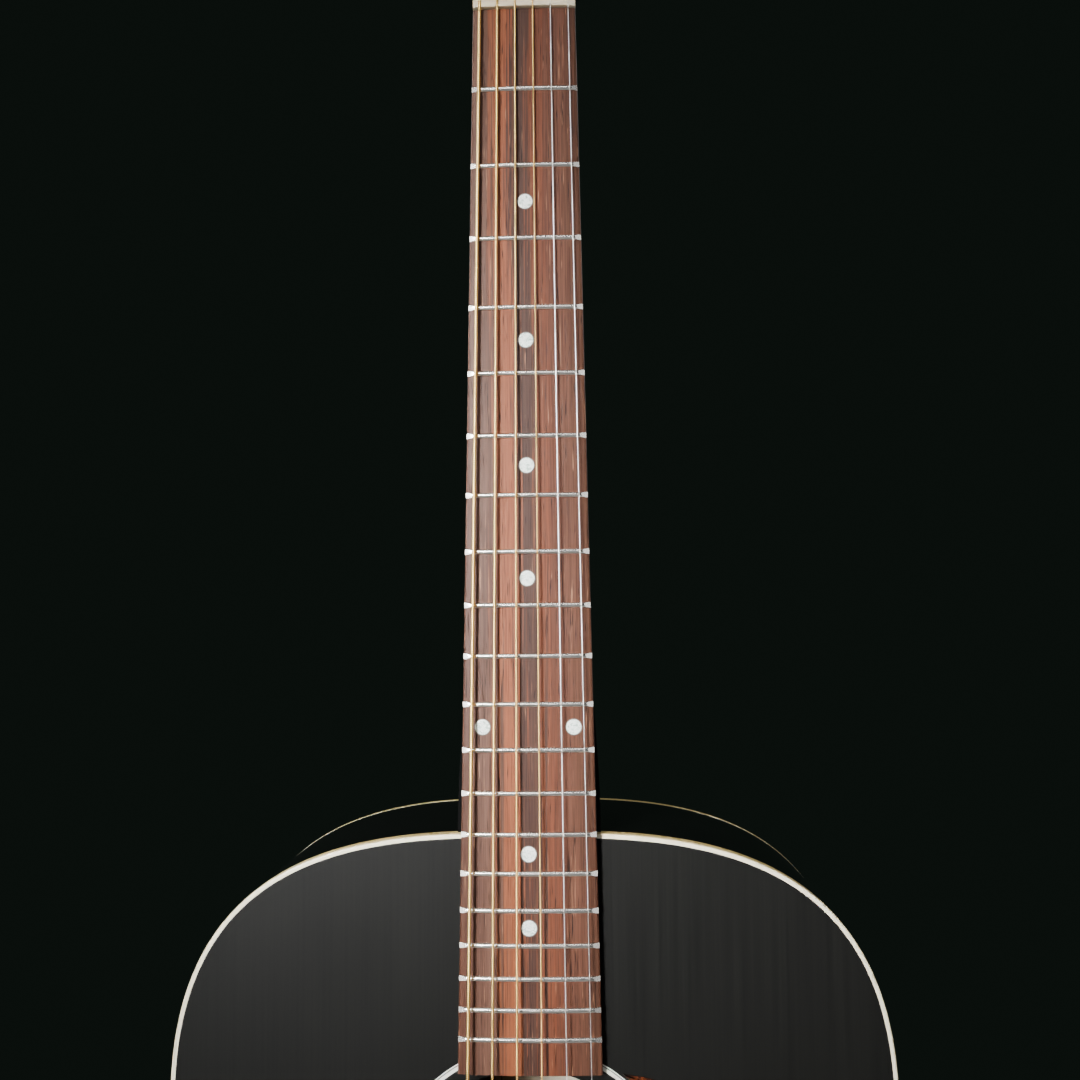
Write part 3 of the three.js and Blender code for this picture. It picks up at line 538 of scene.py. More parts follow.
def turned(profile, axis, centre, segments=40):
    """A solid turned about x, y or z."""
    profile = [(max(radius, 1e-3), along) for radius, along in profile]
    return loft(rings_about(profile, axis, centre, segments))


def ring_turned(profile, axis, centre, segments=64):
    """A ring turned about x, y or z, from a closed profile."""
    return hoop(rings_about(profile, axis, centre, segments))


def tube(path, radius, sides=12):
    """A round bar along a path."""
    path = np.asarray(path, float)
    ahead = np.gradient(path, axis=0)
    ahead /= np.linalg.norm(ahead, axis=1)[:, None]
    side = np.cross(ahead[0], (0.3, 0.2, 1.0) if abs(ahead[0][2]) < 0.9 else (1.0, 0.2, 0.0))
    angles = circle(sides)
    rings = []
    for point, direction in zip(path, ahead):
        side = side - direction * np.dot(side, direction)
        side /= np.linalg.norm(side)
        up = np.cross(direction, side)
        rings.append(point + radius * (np.outer(np.cos(angles), side) + np.outer(np.sin(angles), up)))
    return loft(rings)


def bezier(a, b, c, d, count):
    t = np.linspace(0, 1, count, endpoint=False)[:, None]
    a, b, c, d = (np.asarray(p, float) for p in (a, b, c, d))
    return (1 - t) ** 3 * a + 3 * (1 - t) ** 2 * t * b + 3 * (1 - t) * t * t * c + t ** 3 * d


def straight(a, b, count):
    return np.linspace(a, b, count, endpoint=False).astype(float)


def inset_loop(loop, inset):
    """A closed loop of 2-D points moved inwards; it may run either way round."""
    loop = np.asarray(loop, float)
    before, after = np.roll(loop, 1, 0), np.roll(loop, -1, 0)
    along = after - before
    along /= np.linalg.norm(along, axis=1)[:, None]
    area = np.sum(loop[:, 0] * after[:, 1] - after[:, 0] * loop[:, 1])
    inwards = np.stack([-along[:, 1], along[:, 0]], 1) * (1 if area > 0 else -1)
    return loop + inwards * inset


def plate(loop, y0, y1, bevel=0.4):
    """A flat plate whose outline is drawn in x and z, with rounded front and back edges."""
    edge = quarter(3)
    rows = [(bevel * a, y0 + bevel * b) for a, b in edge]
    rows += [(bevel * a, y1 - bevel * b) for a, b in reversed(edge)]
    return loft([at_depth(inset_loop(loop, a) if a > 1e-6 else np.asarray(loop), y) for a, y in rows])


def cut(obj, *cutters):
    """Takes solids, given as pairs of points and faces, out of a piece."""
    for verts, faces in cutters:
        tool = linked("cutter", rebuilt(bpy.data.meshes.new("cutter"), verts, faces))
        modifier = obj.modifiers.new("cut", "BOOLEAN")
        modifier.operation = "DIFFERENCE"
        modifier.solver = "EXACT"
        modifier.object = tool
        bpy.context.view_layer.update()
        evaluated = obj.evaluated_get(bpy.context.evaluated_depsgraph_get())
        result = bpy.data.meshes.new_from_object(evaluated)
        obj.modifiers.clear()
        obj.data = result
        bpy.data.objects.remove(tool)
    obj.data.set_sharp_from_angle(angle=math.radians(35))
    return obj


def block(x0, x1, y0, y1, z0, z1):
    """The corners and faces of a cutting block."""
    verts = [(x, y, z) for x in (x0, x1) for y in (y0, y1) for z in (z0, z1)]
    faces = [(0, 1, 3, 2), (4, 6, 7, 5), (0, 4, 5, 1), (2, 3, 7, 6), (0, 2, 6, 4), (1, 5, 7, 3)]
    return np.array(verts, float), faces


# ---- body ----


def half_outline(inset):
    """The treble half of the body's outline, from the neck joint to the tail."""
    (u, uz), (w, wz), (l, lz) = UPPER_BOUT, WAIST, LOWER_BOUT
    points = np.concatenate([
        bezier((0, 0), (54, 0), (u, -2.8), (u, uz), 56),
        bezier((u, uz), (u, uz + 36), (w, wz - 38), (w, wz), 22),
        bezier((w, wz), (w, wz + 51), (l, lz - 88), (l, lz), 36),
        bezier((l, lz), (l, lz + 81), (119, BODY_LENGTH), (0, BODY_LENGTH), 56),
        [[0, BODY_LENGTH]],
    ])
    along = np.gradient(points, axis=0)
    along /= np.linalg.norm(along, axis=1)[:, None]
    along[0], along[-1] = (1, 0), (-1, 0)
    moved = points + np.stack([-along[:, 1], along[:, 0]], 1) * inset
    return np.stack([moved[:, 0], JOINT_Z - moved[:, 1]], 1)


def body_outline(inset):
    right = half_outline(inset)
    return np.concatenate([right, right[1:-1][::-1] * (-1, 1)])


def back_y(x, z):
    slope = (DEPTH_AT_TAIL - DEPTH_AT_NECK) / BODY_LENGTH
    return TOP_FACE + DEPTH_AT_NECK + slope * (JOINT_Z - z) - x * x / (2 * BACK_RADIUS)


def rim(profile, half=0):
    """A strip that follows the body's outline, or one side's half of it. The profile is a closed
    list of inset and depth, counted from the front face, or from the back's if it is negative."""
    rings = []
    for inset, depth in profile:
        flat = half_outline(inset) * (half, 1) if half else body_outline(inset)
        y = TOP_FACE + depth if depth >= 0 else back_y(flat[:, 0], flat[:, 1]) + depth
        rings.append(at_depth(flat, y))
    columns = len(rings[0])
    faces = grid_faces(len(rings), columns, wrap_rows=True, wrap_columns=half == 0)
    if half:
        faces.append(tuple(r * columns for r in range(len(rings))))
        faces.append(tuple(r * columns + columns - 1 for r in reversed(range(len(rings)))))
    return np.concatenate(rings), faces


def binding_profile(height, back=False):
    """A binding strip's section with a rounded outer corner."""
    radius = 0.9
    points = [(BINDING_WIDTH, 0.0), *[(radius * a, radius * b) for a, b in quarter()]]
    points += [(0.0, height), (BINDING_WIDTH, height)]
    return [(inset, -max(depth, 1e-4)) for inset, depth in points] if back else points


def make_rims():
    piece("binding_top", rim(binding_profile(TOP_BINDING_HEIGHT)), "binding", replaces=["top_binding"])
    back = binding_profile(BACK_BINDING_HEIGHT, back=True)
    piece("binding_back", rim(back), "binding", replaces=["back_binding"])
    make_purfling()
    lip = 0.05
    profile = [
        (lip, TOP_BINDING_HEIGHT),
        (lip, TOP_BINDING_HEIGHT + 30),
        (lip, -BACK_BINDING_HEIGHT - 30),
        (lip, -BACK_BINDING_HEIGHT),
        (SIDE_THICKNESS, -BACK_BINDING_HEIGHT),
        (SIDE_THICKNESS, TOP_BINDING_HEIGHT),
    ]
    for name, half in (("side_bass", -1), ("side_treble", 1)):
        obj = piece(name + "_shell", rim(profile, half), "black_gloss", replaces=[name])
        second_look(obj, "mahogany", looks_inwards)


def looks_inwards(face):
    """True of a side's faces that look at the middle of the body."""
    outwards = Vector((face.center.x, 0, face.center.z + 0.6))
    return face.normal.dot(outwards) < 0 and abs(face.normal.y) < 0.5


def make_purfling():
    """The thin black line just inside the top binding."""
    inner, outer = BINDING_WIDTH, BINDING_WIDTH + 0.5
    proud, deep = -0.02, 1.2
    rings = [at_depth(body_outline(inset), TOP_FACE + depth)
             for inset, depth in ((inner, proud), (outer, proud), (outer, deep), (inner, deep))]
    piece("purfling_top", hoop(rings), "black_plastic")


def make_top():
    """The soundboard: rings of quads from the soundhole out to the purfling."""
    outer = body_outline(BINDING_WIDTH + 0.5)
    angles = np.arctan2(outer[:, 1] - HOLE_Z, outer[:, 0])
    spokes = np.stack([np.cos(angles), np.sin(angles)], 1)
    centre = np.array([0, HOLE_Z])
    soft = 0.8
    inner = centre + spokes * HOLE_RADIUS
    start = centre + spokes * (HOLE_RADIUS + soft)
    rings = [at_depth(centre + spokes * (HOLE_RADIUS + soft * b), TOP_FACE + soft * a) for a, b in quarter(4)]
    rings += [at_depth(start + (outer - start) * s, TOP_FACE) for s in np.linspace(0, 1, 22)[1:]]
    back = TOP_FACE + TOP_THICKNESS
    rings += [at_depth(inner + (outer - inner) * s, back) for s in np.linspace(1, 0, 8)]
    obj = piece("soundboard_top", hoop(rings), "black_top", replaces=["soundboard"])
    second_look(obj, "spruce", lambda face: face.normal.y > 0.7)


def make_back():
    outer = body_outline(BINDING_WIDTH - 0.02)
    centre = np.array([0, -600.0])
    shares = np.linspace(0.02, 1, 26)
    rings = []
    for order, sink in ((shares, 0), (shares[::-1], BACK_THICKNESS)):
        for s in order:
            flat = centre + (outer - centre) * s
            rings.append(at_depth(flat, back_y(flat[:, 0], flat[:, 1]) - sink))
    obj = piece("back_shell", loft(rings), "black_gloss", replaces=["back_plate"])
    second_look(obj, "mahogany", lambda face: face.normal.y < -0.5)


def make_rosette():
    front, foot = TOP_FACE - 0.04, TOP_FACE + 0.66
    rings = (("wide", 58.6, 60.05, "ivory_plastic"), ("black", 60.05, 60.4, "black_plastic"),
             ("thin", 60.4, 60.9, "ivory_plastic"))
    for name, inner, outer, look in rings:
        profile = [(inner, front), (outer, front), (outer, foot), (inner, foot)]
        shape = ring_turned(profile, "y", (0, 0, HOLE_Z), 192)
        replaced = ["rosette"] if name == "wide" else []
        piece("rosette_" + name, shape, look, replaces=replaced)


def make_pickguard():
    follow = 62.1  # radius of the edge that follows the rosette
    start, end = math.radians(53), math.radians(-50)
    angles = np.append(straight(start, end, 48), [end, start])
    *arc, foot, tip = [(follow * math.cos(a), HOLE_Z + follow * math.sin(a)) for a in angles]
    loop = np.concatenate([
        arc,
        bezier(foot, (foot[0] + 6, foot[1] - 22), (62, -611), (84, -611), 20),
        bezier((84, -611), (110, -611), (121, -583), (111, -556), 24),
        bezier((111, -556), (103, -532), (86, -490), (69, -462), 24),
        bezier((69, -462), (60, -448), (47, -447), tip, 20),
    ])
    shape = plate(loop, TOP_FACE - 1.25, TOP_FACE + 0.02, bevel=0.5)
    piece("pickguard_plate", shape, "tortoise", replaces=["pickguard"])


def paper_sheet(x0, x1, z0, z1, lift):
    """A thin sheet that follows the inside of the back."""
    xs, zs = np.linspace(x0, x1, 6), np.linspace(z0, z1, 8)
    n, m = len(zs), len(xs)
    glued = BACK_THICKNESS + 2.1
    verts = [(x, back_y(x, z) - glued - depth, z) for depth in (lift + 0.15, lift) for z in zs for x in xs]
    faces = grid_faces(n, m, wrap_columns=False)
    faces += [tuple(n * m + i for i in f) for f in faces]
    edge = [*range(m)] + [r * m + m - 1 for r in range(1, n)]
    edge += [(n - 1) * m + c for c in range(m - 2, -1, -1)] + [r * m for r in range(n - 2, 0, -1)]
    faces += [(a, b, n * m + b, n * m + a) for a, b in zip(edge, edge[1:] + edge[:1])]
    return np.array(verts), faces


def make_label():
    """A blank paper label inside the back, with a plain ruled border."""
    x0, x1, z0, z1 = -22.0, 24.0, -556.0, -480.0
    piece("label_sheet", paper_sheet(x0, x1, z0, z1, 0.0), "paper")
    inset, line = 3.0, 0.5
    x0, x1, z0, z1 = x0 + inset, x1 - inset, z0 + inset, z1 - inset
    sides = [(x0, x1, z1 - line, z1), (x0, x1, z0, z0 + line)]
    sides += [(x0, x0 + line, z0, z1), (x1 - line, x1, z0, z1)]
    for i, side in enumerate(sides):
        piece(f"label_rule_{i + 1}", paper_sheet(*side, 0.12), "ink_and_shadow")


def make_end_pin():
    flange = 27.4  # where the flange meets the tail, from the shank's end
    profile = [
        (4.4, 0), (5, 24), (5, flange), (8, flange), (8.2, 28), (8, 30), (6.2, 31.4), (5.1, 33.5), (5, 35.5),
        (6.2, 37.6), (8.2, 39.3), (8.7, 40.6), (8.6, 42.4), (7.9, 43.8), (6.5, 44.9), (3.2, 45), (3.0, 44.8),
        (0, 44.8),
    ]
    flipped = [(r, TAIL_Z + flange - d) for r, d in profile]
    shape = turned(flipped, "z", (0, TOP_FACE + DEPTH_AT_TAIL / 2, 0))
    piece("end_pin_turned", shape, "ivory_plastic", replaces=["end_pin"])


# ---- bridge ----


def bridge_outline():
    front, side, back = -620, 76, -659
    return np.concatenate([
        bezier((-side, -623), (-74, -621.4), (-68, front), (-60, front), 10),
        straight((-60, front), (60, front), 24),
        bezier((60, front), (68, front), (74, -621.4), (side, -623), 10),
        straight((side, -623), (side, -648), 8),
        bezier((side, -648), (60, -651), (50, back), (0, back), 32),
        bezier((0, back), (-50, back), (-60, -651), (-side, -648), 32),
        straight((-side, -648), (-side, -623), 8),
    ])


def bridge_top_y(x):
    """The top of the bridge: full height in the middle, scooped down to thin wings."""
    wing = np.clip((np.abs(x) - 46) / 22, 0, 1)
    return -BRIDGE_TOP + 4.9 * smoothstep(wing)


def make_bridge():
    """Sections across the bridge, from its bass end to its treble end, with rounded upper edges."""
    loop, soft, end, edge = bridge_outline(), 1.4, 76.0, quarter()
    upper, lower = loop[loop[:, 1] > -635.5], loop[loop[:, 1] < -635.5]
    upper, lower = upper[np.argsort(upper[:, 0])], lower[np.argsort(lower[:, 0])]
    tips = [(end - soft * a, soft * b) for a, b in edge]
    middle = [(x, 0.0) for x in np.linspace(-72, 72, 73)]
    stations = [(-x, sink) for x, sink in reversed(tips)] + middle + tips
    rings = []
    for x, sink in stations:
        z1 = np.interp(x, upper[:, 0], upper[:, 1]) - sink * 0.3
        z2 = np.interp(x, lower[:, 0], lower[:, 1]) + sink * 0.3
        top = bridge_top_y(x) + sink
        ring = [(x, TOP_FACE, z1)]
        ring += [(x, top + soft * a, z1 - soft * b) for a, b in edge]
        ring += [(x, top + soft * a, z2 + soft * b) for a, b in reversed(edge)]
        ring.append((x, TOP_FACE, z2))
        rings.append(ring)
    obj = piece("bridge_body", loft(rings), "bridge_wood", replaces=["bridge"])
    cutters = []
    for x, diameter in zip(string_xs(STRING_SPAN_SADDLE), STRING_DIAMETERS):
        cutters.append(turned([(2.65, -9), (2.65, 12)], "y", (x, 0, PIN_ROW), 32))
        half = diameter / 2 + 0.15
        cutters.append(block(x - half, x + half, -9, 12, PIN_ROW, PIN_ROW + 3.85 + half))
    cut(obj, *cutters, slanted(block(-36.7, 36.7, -9, 3.5, -1.35, 1.35)))


def make_saddle():
    half, thick, soft = 36.5, 1.3, 1.2
    rings = []
    for x in np.linspace(-half, half, 49):
        end = min(1.0, (half - abs(x)) / soft)
        top = camber(x) - SADDLE_TOP + soft * (1 - math.sqrt(max(0.0, 1 - (1 - end) ** 2)))
        arc = [(x, top + thick * (1 - math.sin(a)), thick * math.cos(a)) for a in np.linspace(0, math.pi, 11)]
        rings.append([(x, 3.2, thick), *arc, (x, 3.2, -thick)])
    piece("saddle_blade", slanted(loft(rings)), "bone", replaces=["saddle"])


def make_bridge_pins():
    stem = [(0, 20), (1.3, 19.9), (1.9, 19.2), (2.15, 17.5)]
    head = [
        (2.5, 0), (2.55, 0.6), (3.7, 1.0), (3.95, 1.4), (3.95, 2.2), (3.7, 2.7), (2.7, 3.0), (2.55, 3.3),
        (3.3, 3.7), (3.45, 4.2), (3.1, 4.6), (2.3, 4.85), (1.55, 4.9), (1.5, 4.8), (0, 4.8),
    ]
    dot = [(1.45, 4.7), (1.45, 4.86), (1.2, 4.93), (0, 4.96)]
    profile, dot_profile = stem + risen(head), risen(dot)
    for i, x in enumerate(string_xs(STRING_SPAN_SADDLE)):
        n, centre = i + 1, (x, 0, PIN_ROW)
        shape = turned(profile, "y", centre, 32)
        piece(f"pin_{n}_turned", shape, "ivory_plastic", f"pin_{n}", [f"bridge_pin_{n}"])
        piece(f"pin_{n}_dot", turned(dot_profile, "y", centre, 24), "black_plastic", f"pin_{n}")


def risen(profile):
    """A profile whose heights are counted forwards from the bridge's face."""
    return [(r, -BRIDGE_TOP - d) for r, d in profile]


# ---- neck ----


def head_half(z):
    """Half the headstock's width at a height in its own frame."""
    loop = head_loop(0.0)
    right = loop[: len(loop) // 2 + 1]
    order = np.argsort(right[:, 1])
    return np.interp(z, right[order, 1], right[order, 0])


def head_loop(foot):
    """The headstock's outline in its own frame, from the nut up the treble side and round."""
    half, top = NUT_WIDTH / 2, HEAD_LENGTH
    shoulder = top - 7.5
    right = np.concatenate([
        bezier((half, foot), (half, foot + 13), (31, 13), (32, 26), 20),
        straight((32, 26), (36.5, top - 20), 24),
        bezier((36.5, top - 20), (36.85, top - 13.2), (34.5, top - 9.2), (29, shoulder), 14),
        bezier((29, shoulder), (16, top), (-16, top), (-29, shoulder), 32)[:17],
    ])
    return np.concatenate([right, right[:-1][::-1] * (-1, 1)])


def smooth_union(a, b, width):
    blend = np.clip(0.5 + 0.5 * (b - a) / width, 0, 1)
    return b + (a - b) * blend - width * blend * (1 - blend)


def neck_distance(x, depth, z):
    """Roughly how far a point is outside the neck, where depth is measured from the board."""
    half = board_half(z) - 0.05
    deep = NECK_DEPTH + 2.8 * min(1.0, max(0.0, -z / 300))
    shaft = ((abs(x) / half) ** NECK_POWER + (max(depth, 0) / deep) ** NECK_POWER) ** (1 / NECK_POWER) - 1
    shaft *= min(half, deep)
    t = np.clip(depth / (HEEL_BACK - TOP_FACE), 0, 1)
    wide = HEEL_WIDE - (HEEL_WIDE - HEEL_NARROW) * t ** 0.8
    reach = 20 + 18 * (1 - t) + 44 * (1 - t) ** 6
    heel = (math.hypot(x / wide, (z - HEEL_FACE) / reach) - 1) * wide
    heel = max(heel, depth + TOP_FACE - HEEL_BACK)
    return smooth_union(shaft, heel, 7.0)


def ray_ring(distance, reach, rays=49):
    """A half ring about a point, found by halving along each ray; it starts at +x."""
    points = []
    for angle in np.linspace(0, math.pi, rays):
        c, s = math.cos(angle), math.sin(angle)
        near, far = 0.0, reach
        for _ in range(26):
            middle = (near + far) / 2
            if distance(middle * c, middle * s) < 0:
                near = middle
            else:
                far = middle
        points.append((near * c, near * s))
    return np.array(points)


def neck_section(ring, sink, z):
    return np.stack([ring[:, 0], ring[:, 1] + sink, np.full(len(ring), z)], 1)


def make_neck():
    rings = []
    by_body = np.linspace(HEEL_FACE, HEEL_FACE + 19.9, 16)
    heel_zs = np.concatenate([by_body, HEEL_FACE + 20 + np.linspace(0, 1, 40) ** 1.5 * 70])
    for z in [*heel_zs, *np.linspace(heel_zs[-1], -8, 24)[1:]]:
        rings.append(neck_section(ray_ring(lambda x, d: neck_distance(x, d, z), 110), TOP_FACE, z))
    # The headstock's sections lean back little by little behind the nut, and grow square.
    tip = HEAD_LENGTH - 8
    rows = [*np.linspace(-4, 26, 22), *np.linspace(30, tip - 14, 14), *np.linspace(tip - 12, tip, 9)]
    rows += [*(tip + 5.58 * np.sin(np.linspace(0.15, math.pi / 2, 9)))]
    for row in rows:
        share = smoothstep(float(np.clip((row + 4) / 18, 0, 1)))
        power = NECK_POWER + 9.0 * float(np.clip((row - 2) / 24, 0, 1))
        half = max(0.4, float(head_half(max(row, 0.3))) - 0.02)
        deep = NECK_DEPTH * (1 - share) + (HEAD_THICKNESS - HEADPLATE_THICKNESS) * share
        ring = ray_ring(lambda x, d: (abs(x) / half) ** power + (max(d, 0) / deep) ** power - 1, 60)
        leaning = to_head(neck_section(ring, HEADPLATE_THICKNESS, row))
        rings.append(neck_section(ring, TOP_FACE, row) * (1 - share) + leaning * share)
    obj = piece("neck_shaped", loft(rings), "black_gloss", replaces=["neck"], sharp=40)
    cut(obj, *head_cutters())


def head_cutters():
    """What is cut out of the headstock: the pocket of the truss rod's nut and the holes for the posts."""
    cutters = [on_head(block(-5.2, 5.2, -5, 11.8, 1.5, 24))]
    for x in (-POST_X, POST_X):
        for row in POST_ROWS:
            cutters.append(on_head(turned([(3.4, -6), (3.4, 24)], "y", (x, 0, row), 28)))
    return cutters


def make_heel_cap():
    angles = np.linspace(0, math.pi, 41)
    rings = []
    for inset, rise in ((0.5, 0), (0, 0.5), (0, 2.4), (0.15, 2.75), (0.5, 2.9)):
        x = (HEEL_NARROW - inset) * np.cos(angles)
        z = HEEL_FACE + inset + (20.0 - 2 * inset) * np.sin(angles)
        rings.append(at_depth(np.stack([x, z], 1), HEEL_BACK + rise))
    piece("heel_cap_plate", loft(rings), "black_plastic", replaces=["heel_cap"])


def make_fingerboard():
    """The board: a cambered face with softly rolled edges."""
    roll, soft = 0.9, quarter()
    rings = []
    for z in np.linspace(-0.1, -BOARD_END, 60):
        half = board_half(z)
        edge = camber(half)
        across = [(-half, TOP_FACE)]
        across += [(-half + roll * b, edge + roll * a) for a, b in soft]
        across += [(x, camber(x)) for x in np.linspace(-half + roll, half - roll, 23)[1:-1]]
        across += [(half - roll * b, edge + roll * a) for a, b in reversed(soft)]
        across += [(half, TOP_FACE)]
        rings.append([(x, y, z) for x, y in across])
    piece("board_wood", loft(rings), "rosewood", replaces=["fingerboard"])


def make_frets():
    """Each fret is a crowned wire bent over the board, its ends filed to a slope."""
    filed, radius = 2.6, FRET_WIDTH / 2
    crown = [(radius * math.cos(a), 0.02 - FRET_HEIGHT * math.sin(a)) for a in np.linspace(0, math.pi, 17)]
    section = [(radius, 0.5), *crown, (-radius, 0.5)]
    for n in range(1, FRETS + 1):
        z0 = fret_z(n)
        half = board_half(z0) - 0.05
        rings = [[(x, camber(x) + y, z0 + z) for z, y in section] for x in np.linspace(-half, half, 25)]
        obj = piece(f"fret_{n:02d}", loft(rings), "fret_nickel", sharp=30)
        built = bmesh.new()
        built.from_mesh(obj.data)
        for side in (-1, 1):
            point = Vector((side * half, camber(half) - 0.12, z0)) * MM
            slope = Vector((side * (FRET_HEIGHT - 0.1), -filed, 0)).normalized()
            everything = built.verts[:] + built.edges[:] + built.faces[:]
            made = bmesh.ops.bisect_plane(
                built, geom=everything, plane_co=point, plane_no=slope, clear_outer=True)
            rim_edges = [g for g in made["geom_cut"] if isinstance(g, bmesh.types.BMEdge)]
            bmesh.ops.edgeloop_fill(built, edges=rim_edges)
        bmesh.ops.recalc_face_normals(built, faces=built.faces)
        built.to_mesh(obj.data)
        built.free()
        obj.data.set_sharp_from_angle(angle=math.radians(30))


def board_circle(x0, z0, radius, lift):
    """A circle on the board's cambered face."""
    x = x0 + radius * np.cos(circle(40))
    return np.stack([x, camber(x) + lift, z0 + radius * np.sin(circle(40))], 1)


def make_dots():
    radius, filler_and_shadow_reach = 3.1, 0.42
    places = [(3, 0), (5, 0), (7, 0), (9, 0), (12, -18.8), (12, 18.8), (15, 0), (17, 0)]
    for i, (n, x0) in enumerate(places):
        z0 = fret_middle(n)
        lifts = ((0.05, -0.045), (0.35, -0.045), (0.65, -0.045), (0.93, -0.045), (1.0, 0.0))
        rings = [board_circle(x0, z0, radius * share, lift) for share, lift in lifts]
        rings.append(rings[-1] + (0, 1.0, 0))
        piece(f"dot_{i + 1}", loft(rings), "pearl")
        # A dark ring round each dot: partly a dark filler line, partly painted shadow at the dot's edge.
        section = ((0.02, 0.5), (0.02, -0.02), (filler_and_shadow_reach, -0.02), (filler_and_shadow_reach, 0.5))
        rings = [board_circle(x0, z0, radius + wider, lift) for wider, lift in section]
        piece(f"dot_filler_and_shadow_{i + 1}", hoop(rings), "ink_and_shadow")
    profile = [(1.0, 0.6), (1.0, -0.02), (0.8, -0.05), (0, -0.05)]
    for n, offset in ((3, 0), (5, 0), (7, 0), (9, 0), (12, 0), (12, 4), (15, 0), (17, 0)):
        z0 = fret_middle(n) + (1.6 * (offset - 2) if n == 12 else 0)
        shape = turned([(r, -board_half(z0) + d) for r, d in profile], "x", (0, 3.4, z0), 20)
        piece(f"side_dot_{n}_{offset}", shape, "ivory_plastic")


def make_nut():
    """The nut: a bone bar that slopes back, with a slot for each string."""
    half = NUT_WIDTH / 2
    slope = [(0.15, 0.55), (0.32, 0.15), (0.75, 0), (3.2, 0.25), (4.3, 0.75), (4.85, 1.4), (5.05, 2.2)]
    rings = []
    for x in np.linspace(-half, half, 33):
        end = max(0.0, 1 - (half - abs(x)) / 1.0)
        top = camber(x) - 2.0 + (1.0 - math.sqrt(1 - end * end))
        face = [(x, top + y, z) for z, y in slope]
        rings.append([(x, TOP_FACE, 0.15), *face, (x, TOP_FACE, 5.05)])
    obj = piece("nut_bar", loft(rings), "bone", replaces=["nut"])
    cutters = []
    for x, diameter in zip(string_xs(STRING_SPAN_NUT), STRING_DIAMETERS):
        r = diameter / 2 + 0.05
        floor, bend = camber(x) - NUT_TOP - diameter / 2, 2.6
        path = [(x, floor, z) for z in np.linspace(-1, bend, 4)]
        path += [(x, floor + 0.30 * (z - bend), z) for z in (4, 5.5, 7)]
        cutters.append(tube(path, r, 14))
        cutters.append(block(x - r, x + r, -8, floor, -1, 7))
    cut(obj, *cutters)


def make_rod():
    angles = circle(6) + math.pi / 6
    rings = []
    for radius, z in ((0.86 * 3.6, 8.0), (3.6, 8.5), (3.6, 16.0), (0.86 * 3.6, 16.5)):
        rings.append([(radius * math.cos(a), 13 + radius * math.sin(a), z) for a in angles])
    obj = piece("rod_nut_hex", loft(rings), "brass", "rod_nut", ["truss_rod_nut"], sharp=25)
    cut(obj, turned([(2.25, 6), (2.25, 18)], "z", (0, 13, 0), 32))
    repaint("rod_steel", ["truss_rod"])


def repaint(look, names):
    """Gives CAD pieces that keep their shapes a look."""
    for name in names:
        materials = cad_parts[name].data.materials
        materials.clear()
        materials.append(LOOK[look])


# ---- headstock furniture ----


def make_headplate():
    shape = on_head(plate(head_loop(0.2), 0.0, HEADPLATE_THICKNESS + 0.02, bevel=0.35))
    obj = piece("headplate_veneer", shape, "black_gloss", replaces=["headplate"])
    cut(obj, *head_cutters())


def cover_loop(inset):
    right = np.concatenate([
        bezier((9, 2.5), (9.4, 12), (8, 18), (6.5, 24), 14),
        bezier((6.5, 24), (5.2, 30.5), (2.8, 33), (0, 33), 14),
    ])
    loop = np.concatenate([right, [[0, 33]], right[1:][::-1] * (-1, 1), [[-9, 2.5]]])
    return inset_loop(loop, inset) if inset else loop


def screw(name, x, y, z, radius, facing):
    """A domed screw head with a cross slot; facing is -1 to the front or 1 to the back."""
    dome = [(radius, 0), (radius, 0.25), (radius * 0.86, 0.62), (radius * 0.55, 0.9), (0, 1.05)]
    shape = turned([(r, facing * d) for r, d in dome], "y", (x, y, z), 28)
    obj = piece(name, on_head(shape), "nickel")
    long, wide = radius * 0.62, radius * 0.14
    y0, y1 = sorted((y + facing * 0.5, y + facing * 2))
    arms = [block(x - a, x + a, y0, y1, z - b, z + b) for a, b in ((long, wide), (wide, long))]
    return cut(obj, *map(on_head, arms))


def make_rod_cover():
    shape = on_head(plate(cover_loop(0), -1.3, 0.0, bevel=0.15))
    piece("rod_cover_white", shape, "ivory_plastic")
    shape = on_head(plate(cover_loop(0.75), -1.95, -1.25, bevel=0.25))
    piece("rod_cover_black", shape, "black_plastic", replaces=["truss_rod_cover"])
    for n, z in enumerate((5.5, 28.5)):
        screw(f"rod_cover_screw_{n + 1}", 0, -1.9, z, 1.6, -1)


def gear_ring(inset, x, y, z):
    """The outline of the tuner's gear about a centre."""
    flank = ((4.2, 0.115), (4.75, 0.09), (5.35, 0.062), (5.6, 0.03))
    tooth = [(r, -turn) for r, turn in flank] + list(reversed(flank))
    points = []
    for n in range(GEAR_TEETH):
        middle = -math.pi / 2 + (n + 0.5) * FULL_TURN / GEAR_TEETH
        for radius, turn in tooth:
            r = radius - inset
            points.append((x + r * math.cos(middle + turn), y, z + r * math.sin(middle + turn)))
    return points


